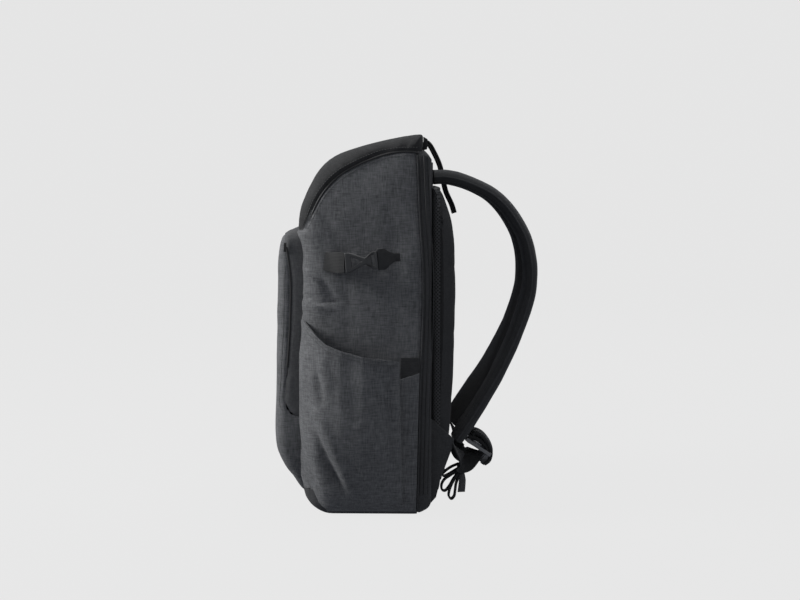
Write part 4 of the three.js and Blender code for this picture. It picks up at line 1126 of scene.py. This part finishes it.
# A strap swept along rows of place, width, thickness and turn about its own run
def sweep(rows, steps, section):
    spots, ways = curveThrough([r["at"] for r in rows], (len(rows) - 1) * steps + 1)
    marks = np.linspace(0, len(rows) - 1, len(spots))
    width, thick, turn, lift = (np.interp(marks, np.arange(len(rows)), [r.get(key, 0) for r in rows])
                                for key in ("width", "thick", "turn", "lift"))
    run = np.concatenate([[0], np.cumsum(np.linalg.norm(np.diff(spots, axis=0), axis=1))])
    points, table = [], []
    for i, (spot, way) in enumerate(zip(spots, ways)):
        across = np.array([1.0, 0, 0]) - way * way[0]
        across /= np.linalg.norm(across)
        normal = np.cross(way, across)
        angle = math.radians(turn[i])
        across, normal = (across * math.cos(angle) + normal * math.sin(angle),
                          normal * math.cos(angle) - across * math.sin(angle))
        for a, b in section(width[i], thick[i]):
            points.append(spot + across * a + normal * (b + lift[i]))
            table.append((run[i], a, b))
    sides = len(section(1, 1))
    tris = []
    for i in range(len(spots) - 1):
        for k in range(sides):
            a, b = i * sides + k, i * sides + (k + 1) % sides
            tris += [(a, b, b + sides), (a, b + sides, a + sides)]
    top = (len(spots) - 1) * sides
    half = sides // 2
    for k in range(half - 1):
        a, b, c, d = k, k + 1, sides - 2 - k, sides - 1 - k
        tris += [(a, c, b), (a, d, c), (top + a, top + b, top + c), (top + a, top + c, top + d)]
    return np.array(points), np.array(tris), np.array(table)


# Thin strap: flat faces with rounded edges
def flatSection(width, thick):
    w, t = width / 2, thick / 2
    r = min(t, w * 0.5) * 0.9
    upper = [(-w, t - r), (-w + r * 0.3, t - r * 0.3), (-w + r, t), (-w * 0.33, t), (w * 0.33, t), (w - r, t),
             (w - r * 0.3, t - r * 0.3), (w, t - r)]
    lower = [(a, -b) for a, b in reversed(upper)]
    return upper + lower


facePoints = 15    # points across each face of a padded strap


# Padded strap: round edges, and faces that belly out a little
def paddedSection(width, thick):
    w, t = width / 2, thick / 2
    upper = []
    for k in range(facePoints):
        a = -math.cos(k / (facePoints - 1) * math.pi)
        edge = 1 - abs(a) ** 7
        upper.append((w * a, t * (0.80 * edge ** 0.62 + 0.20 * (1 - a * a)) + 0.6))
    lower = [(a, -b) for a, b in reversed(upper)]
    return upper + lower


yoke = {"thick": 2.5, "gap": 0.6}

# Shoulder strap: y as shares of its reach behind the yoke, z of the bag's height, then its share of the
# thickness and its flare in degrees
strap = {
    "reach": 119, "spacing": 118, "width": 66, "thick": 15.4,
    "root": backY + pad["gap"] + yoke["thick"] + yoke["gap"],
    "piping": 1.3, "stitchIn": 2, "stitchLift": 0.2, "ripple": 0.6, "rippleSize": 34,
    "rows": [
        (0.000, 0.886, 1.10, 0), (0.105, 0.887, 1.10, 0), (0.240, 0.881, 1.06, 0), (0.425, 0.864, 1.00, 0),
        (0.605, 0.839, 1.00, 0), (0.742, 0.806, 1.00, 0), (0.852, 0.766, 1.00, 0), (0.942, 0.719, 1.00, 0),
        (0.990, 0.665, 1.00, 0), (1.000, 0.622, 1.00, 0), (0.988, 0.580, 1.00, 0), (0.942, 0.534, 1.00, 0),
        (0.862, 0.473, 1.00, 0), (0.778, 0.420, 1.00, 4), (0.648, 0.348, 1.04, 10), (0.505, 0.283, 1.08, 16),
        (0.350, 0.219, 1.14, 17), (0.248, 0.178, 1.02, 17),
    ],
    "foot": [(0.370, 0.215), (0.255, 0.162)],
}


def flareOf(side, flare):
    return -flare if side < 0 else 0.2 * flare


def makeStrap(name, side):
    rows = [{"at": (side * strap["spacing"] / 2, strap["root"] + y * strap["reach"], z * bag["height"]),
             "width": strap["width"], "thick": thick * strap["thick"], "turn": flareOf(side, flare)}
            for y, z, thick, flare in strap["rows"]]
    points, tris, _ = sweep(rows, 8, paddedSection)
    points = rippled(points, tris, strap["ripple"], strap["rippleSize"], 31 + side, 0.3)
    stands = [f"shoulder_strap_{name}"]
    makePiece(f"shoulderStrapCloth_{name}", points, tris, "strapCloth", stands, sharp=60, padFill=0.7)
    sides, last = 2 * facePoints, facePoints - 1
    rims = []
    for k in (0, last):
        path = (points[k::sides] + points[(sides - 1 - k)::sides]) / 2
        rims.append(tube(evenly(path, 4), strap["piping"], 8))
    makePiece(f"strapPiping_{name}", *joined(rims), "blackCloth")
    raised = points + vertexNormals(points, tris) * strap["stitchLift"]
    upper = [strap["stitchIn"], last - strap["stitchIn"]]
    rows = [stitched(raised[k::sides]) for k in upper + [sides - 1 - k for k in upper]]
    makePiece(f"strapStitches_{name}", *joined(rows), "thread")


# Webbing and what hangs at the strap's foot, as shares of the webbing's width from the foot
webbing = {
    "width": 25, "sheet": 1.6, "strapThick": 16, "strapGap": 1.2, "loopStart": 0.8,
    "wingThick": 3, "wingGap": 0.6, "wingOut": 2,
    "loop": [(0.84, 0.62), (1.14, 0.50), (1.42, 0.20), (1.60, -0.14), (1.66, -0.46), (1.56, -0.80),
             (1.34, -0.98)],
    "inner": [(0.56, 0.44), (0.92, 0.30), (1.22, 0.10), (1.44, -0.16), (1.50, -0.40)],
    "lower": [
        (1.00, -0.364, 0.46, 0, 0), (0.94, -0.14, -0.06, 0, 0), (0.73, 0.06, -0.48, 12, 0.1),
        (0.46, 0.16, -0.84, 42, 0.4), (0.23, 0.42, -0.86, 62, 0.8), (0.08, 0.70, -0.60, 54, 1),
        (0.00, 0.90, -0.36, 28, 1),
    ],
    "tailFolds": [
        [(0.04, -0.92), (-0.35, -1.09), (-0.65, -1.31), (-0.78, -1.46), (-0.70, -1.54), (-0.51, -1.47),
         (-0.27, -1.33), (0.04, -1.14)],
        [(0.04, -1.24), (-0.39, -1.51), (-0.67, -1.71), (-0.81, -1.97), (-0.79, -2.22), (-0.65, -2.28),
         (-0.43, -2.05), (-0.25, -1.73), (0.02, -1.34)],
        [(0.02, -1.38), (-0.29, -1.91), (-0.43, -2.29), (-0.45, -2.55), (-0.33, -2.68), (-0.19, -2.55),
         (-0.14, -2.27), (-0.09, -1.91), (0.10, -1.42)],
    ],
    "keeper": [(-0.02, -0.92), (0.30, -1.00), (0.26, -1.46), (-0.06, -1.40)],
    "tailEnd": [(0.20, -1.24, 10), (0.22, -1.75, 22), (0.17, -2.35, 24)],
    "tailOut": 0.56, "tailSheet": 2.6, "tailTilt": 0.145, "farTail": 0.3,
    "lockShift": (0, -5, 2), "farHang": (0, 4, -21),
}
knee, foot = (np.array([0, strap["root"] + y * strap["reach"], z * bag["height"]]) for y, z in strap["foot"])
footRun = (foot - knee) / np.linalg.norm(foot - knee)
footFlare = strap["rows"][-1][3]


def turned(point, degrees):
    angle = math.radians(degrees)
    point = np.array(point, float)
    return (point * math.cos(angle) + np.cross(footRun, point) * math.sin(angle)
            + footRun * (footRun @ point) * (1 - math.cos(angle)))


def atFoot(side, out, rear, up, swing):
    place = turned(np.array([side * out, rear, up]) * webbing["width"], flareOf(side, footFlare) * swing)
    return place + foot + np.array([side * strap["spacing"] / 2, 0, 0])


def makeFootWebbing(name, side):
    turn = flareOf(side, footFlare)
    wide = webbing["width"]
    away = webbing["strapThick"] / 2 + webbing["strapGap"]
    root = np.array([0, -footRun[2], footRun[1]]) * away - footRun * webbing["loopStart"] * wide
    loop = [(root[1] / wide, root[2] / wide), *webbing["loop"]]
    hang = np.array(webbing["farHang"]) if side < 0 else np.zeros(3)
    rows = [{"at": atFoot(side, 0, rear, up, 1) + hang * min(1, (k + 0.5) / 1.5), "width": wide,
             "thick": 3 * webbing["sheet"], "turn": turn} for k, (rear, up) in enumerate(loop)]
    inner = [{"at": atFoot(side, 0, rear, up, 1) + hang, "width": wide * 0.96, "thick": 3 * webbing["sheet"],
              "turn": turn} for rear, up in webbing["inner"]]
    layers = [sweep(path, 8, flatSection) for path in (rows, inner)]
    points, tris = joined([(p, t) for p, t, _ in layers])
    run = np.vstack([table for _, _, table in layers])
    makePiece(f"strapLoopWebbing_{name}", points, tris, "webbing", [f"strap_loop_{name}"], run=run)
    reach = (pad["width"] - strap["spacing"] - wide) / 2
    reach += webbing["wingThick"] + webbing["wingGap"] + webbing["wingOut"]
    rows = [{"at": atFoot(side, share * reach / wide, rear, up, swing) + hang * swing, "width": wide,
             "thick": webbing["sheet"] * 1.2, "turn": side * twist + turn * swing}
            for share, rear, up, twist, swing in webbing["lower"]]
    points, tris, run = sweep(rows, 8, flatSection)
    makePiece(f"lowerWebbingCloth_{name}", points, tris, "webbing", [f"lower_webbing_{name}"], run=run)


def makeTail(name, side):
    out, wide = webbing["tailOut"], webbing["width"]
    strands = []
    for fold in webbing["tailFolds"]:
        rows = [{"at": atFoot(side, out, rear, up, 0), "width": wide * 0.94, "thick": webbing["tailSheet"]}
                for rear, up in fold]
        strands.append(sweep(rows, 8, flatSection))
    rows = [{"at": atFoot(side, out, rear, up, 0), "width": wide * 0.9, "thick": webbing["sheet"],
             "turn": side * twist} for rear, up, twist in webbing["tailEnd"]]
    strands.append(sweep(rows, 10, flatSection))
    corners = [atFoot(side, out, rear, up, 0) for rear, up in webbing["keeper"]]
    ends = [(corners[0] + corners[1]) / 2, (corners[2] + corners[3]) / 2]
    deep = np.linalg.norm(corners[0] - corners[1])
    band = [{"at": at, "width": wide * 1.04, "thick": deep} for at in (ends[0], sum(ends) / 2, ends[1])]
    strands.append(sweep(band, 3, flatSection))
    points, tris = joined([(p, t) for p, t, _ in strands])
    run = np.vstack([table for _, _, table in strands])
    points[:, 2] += (side * points[:, 0] - strap["spacing"] / 2 - out * wide) * webbing["tailTilt"]
    if side < 0:
        nearest = points[:, 1].min()
        points[:, 1] = nearest + (points[:, 1] - nearest) * webbing["farTail"]
    makePiece(f"tailWebbing_{name}", points, tris, "webbing", [f"webbing_tail_{name}"], run=run)


for name, side in (("right", 1), ("left", -1)):
    makeStrap(name, side)
    makeFootWebbing(name, side)
    makeTail(name, side)
print("shoulder straps made")

# Strap across the right side panel: shares of its run, its bow and its height, then a lift
sideStrap = {
    "from": -0.335, "to": 0.217, "z": 0.662, "rise": 0.018, "bow": 20, "height": 26, "sheet": 1.6, "gap": 0.6,
    "front": [(0.00, 0.00, 0.84, 3.0), (0.08, 0.20, 0.92, 1.5), (0.20, 0.72, 0.98, 0.5), (0.27, 0.93, 0.92, 0)],
    "back": [(0.71, 0.93, 0.95, 0), (0.80, 0.62, 0.95, 0), (0.86, 0.38, 0.62, 0), (0.93, 0.10, 0.38, 0),
             (1.00, 0.00, 0.38, 0)],
}


def makeSideStrap():
    for part, node, paint in (("front", "side_strap_front", "webbing"),
                              ("back", "side_strap_elastic", "elastic")):
        rows = []
        for share, rise, height, lift in sideStrap[part]:
            y = (sideStrap["from"] + (sideStrap["to"] - sideStrap["from"]) * share) * bag["depth"]
            z = (sideStrap["z"] + sideStrap["rise"] * share) * bag["height"] + lift
            x = sideX(y, z)[0] + sideStrap["gap"] + sideStrap["sheet"] / 2 + rise * sideStrap["bow"]
            tall = height * sideStrap["height"]
            rows.append({"at": (x, y, z), "width": tall, "thick": sideStrap["sheet"], "turn": 90})
        points, tris, run = sweep(rows, 10, flatSection)
        makePiece(f"sideStrapWebbing_{part}", points, tris, paint, [node], run=run)


handle = {
    "width": 24, "layer": 3.2,
    "rows": [(0.015, 0.985), (0.054, 0.977), (0.096, 0.953), (0.140, 0.918), (0.165, 0.880), (0.190, 0.845),
             (0.235, 0.810), (0.255, 0.787)],
}


def makeHandle():
    layers = []
    for lift in (-handle["layer"] / 2, handle["layer"] / 2):
        rows = [{"at": (0, lidLine[-1][0] + y * bag["depth"], z * bag["height"]), "width": handle["width"],
                 "thick": handle["layer"] * 0.94, "lift": lift} for y, z in handle["rows"]]
        layers.append(sweep(rows, 8, flatSection))
    points, tris = joined([(p, t) for p, t, _ in layers])
    run = np.vstack([table for _, _, table in layers])
    makePiece("handleWebbing", points, tris, "webbing", ["grab_handle"], run=run)


makeSideStrap()
makeHandle()
print("side strap and handle made")


# Small sewn parts keep the model's shape, with softened edges: angles in degrees
sewn = {"merge": 1e-5, "flat": 3, "corner": 30, "sharp": 40, "segments": 3, "profile": 0.6}


def softCopy(name, node, paint, bevel, shift=(0, 0, 0), deeper=1.0):
    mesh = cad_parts[node].data.copy()
    mesh.materials.clear()
    shape = bmesh.new()
    shape.from_mesh(mesh)
    bmesh.ops.translate(shape, verts=shape.verts, vec=Vector(shift) * mm)
    middle = sum(corner.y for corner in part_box(node)) / 2
    for vert in shape.verts:
        vert.co.y = middle + (vert.co.y - middle) * deeper
    bmesh.ops.remove_doubles(shape, verts=shape.verts, dist=sewn["merge"])
    bmesh.ops.dissolve_limit(shape, angle_limit=math.radians(sewn["flat"]), verts=shape.verts, edges=shape.edges)
    corners = [e for e in shape.edges if e.calc_face_angle(0) > math.radians(sewn["corner"])]
    bmesh.ops.bevel(shape, geom=corners, offset=bevel * mm, segments=sewn["segments"], affect="EDGES",
                    profile=sewn["profile"])
    bmesh.ops.triangulate(shape, faces=shape.faces)
    shadeSmooth(shape, sewn["sharp"])
    shape.to_mesh(mesh)
    shape.free()
    run = [(v.co.z / mm, (v.co.x + v.co.y) / mm, 0) for v in mesh.vertices]
    handOver(name, mesh, paint, [node], run)


softCopy("yokeCloth", "yoke", "blackCloth", 0.9, (0, -1.2, -6))
softCopy("frontPull", "front_zip_pull", "webbing", 0.4, (0, 3, -4))
softCopy("sideHook", "side_strap_hook", "plastic", 0.5)
for name, side in (("right", 1), ("left", -1)):
    softCopy(f"wingCloth_{name}", f"wing_{name}", "blackCloth", 0.9, deeper=1.24)
    softCopy(f"lidTabCloth_{name}", f"lid_tab_{name}", "webbing", 0.8, (0, 0, -2.5))
    hang = np.array(webbing["lockShift"]) + (np.array(webbing["farHang"]) if side < 0 else 0)
    # the ladder locks' plastic carries painted highlight and painted shade in its colour
    softCopy(f"ladderLock_{name}", f"ladder_lock_{name}", "satinPlastic", 0.45, hang.tolist())
print("small parts made")

# Pale round studio: the floor curves up into the wall, and both glow softly for the camera only
studio = {
    "radius": 6.0, "bend": 2.0, "height": 6.0, "around": 96, "aim": (0, 0, 0.22),
    "glow": 0.782, "floor": grey(0.012), "sky": grey(0.235, 1.22),
    "lights": [
        {"name": "key", "at": (0.30, -1.90, 1.20), "size": 0.8, "power": 70},
        {"name": "top", "at": (-0.1, 0.2, 2.3), "size": 1.2, "power": 26},
        {"name": "fill", "at": (2.4, 1.4, 0.9), "size": 1.8, "power": 10},
        {"name": "back", "at": (-1.6, 1.5, 1.4), "size": 1.4, "power": 14},
    ],
}


def makeStudio():
    flat = studio["radius"] - studio["bend"]
    profile = [(r, 0.0) for r in np.linspace(0.5, flat, 8)]
    profile += [(flat + studio["bend"] * math.sin(t), studio["bend"] * (1 - math.cos(t)))
                for t in np.linspace(0, math.pi / 2, 16)[1:]]
    profile.append((studio["radius"], studio["height"]))
    around = studio["around"]
    corners = [(0.0, 0.0, 0.0)]
    for r, z in profile:
        turns = np.arange(around) * 2 * math.pi / around
        corners += [(r * math.cos(t), r * math.sin(t), z) for t in turns]
    faces = [(0, 1 + k, 1 + (k + 1) % around) for k in range(around)]
    for i in range(len(profile) - 1):
        for k in range(around):
            a, b = 1 + i * around + k, 1 + i * around + (k + 1) % around
            faces.append((a, a + around, b + around, b))
    mesh = bpy.data.meshes.new("studioFloor")
    mesh.from_pydata(corners, [], faces)
    for face in mesh.polygons:
        face.use_smooth = True
    floor = placed("studioFloor", mesh)
    paint = Paint("floorPaint")
    mesh.materials.append(paint.finish({
        "Base Color": studio["floor"], "Roughness": 0.9, "Specular IOR Level": 0.0,
        "Emission Color": (1, 1, 1, 1), "Emission Strength": studio["glow"]}))
    floor.visible_diffuse = False
    floor.visible_glossy = False
    floor.visible_shadow = False
    world = bpy.data.worlds.new("studioSky")
    world.use_nodes = True
    world.node_tree.nodes["Background"].inputs[0].default_value = studio["sky"]
    bpy.context.scene.world = world
    bpy.context.scene.view_settings.view_transform = "Standard"
    for spec in studio["lights"]:
        data = bpy.data.lights.new(spec["name"], "AREA")
        data.energy, data.size = spec["power"], spec["size"]
        lamp = placed(spec["name"], data)
        lamp.location = spec["at"]
        lamp.rotation_euler = (Vector(studio["aim"]) - lamp.location).to_track_quat("-Z", "Y").to_euler()


makeStudio()
print("studio made")
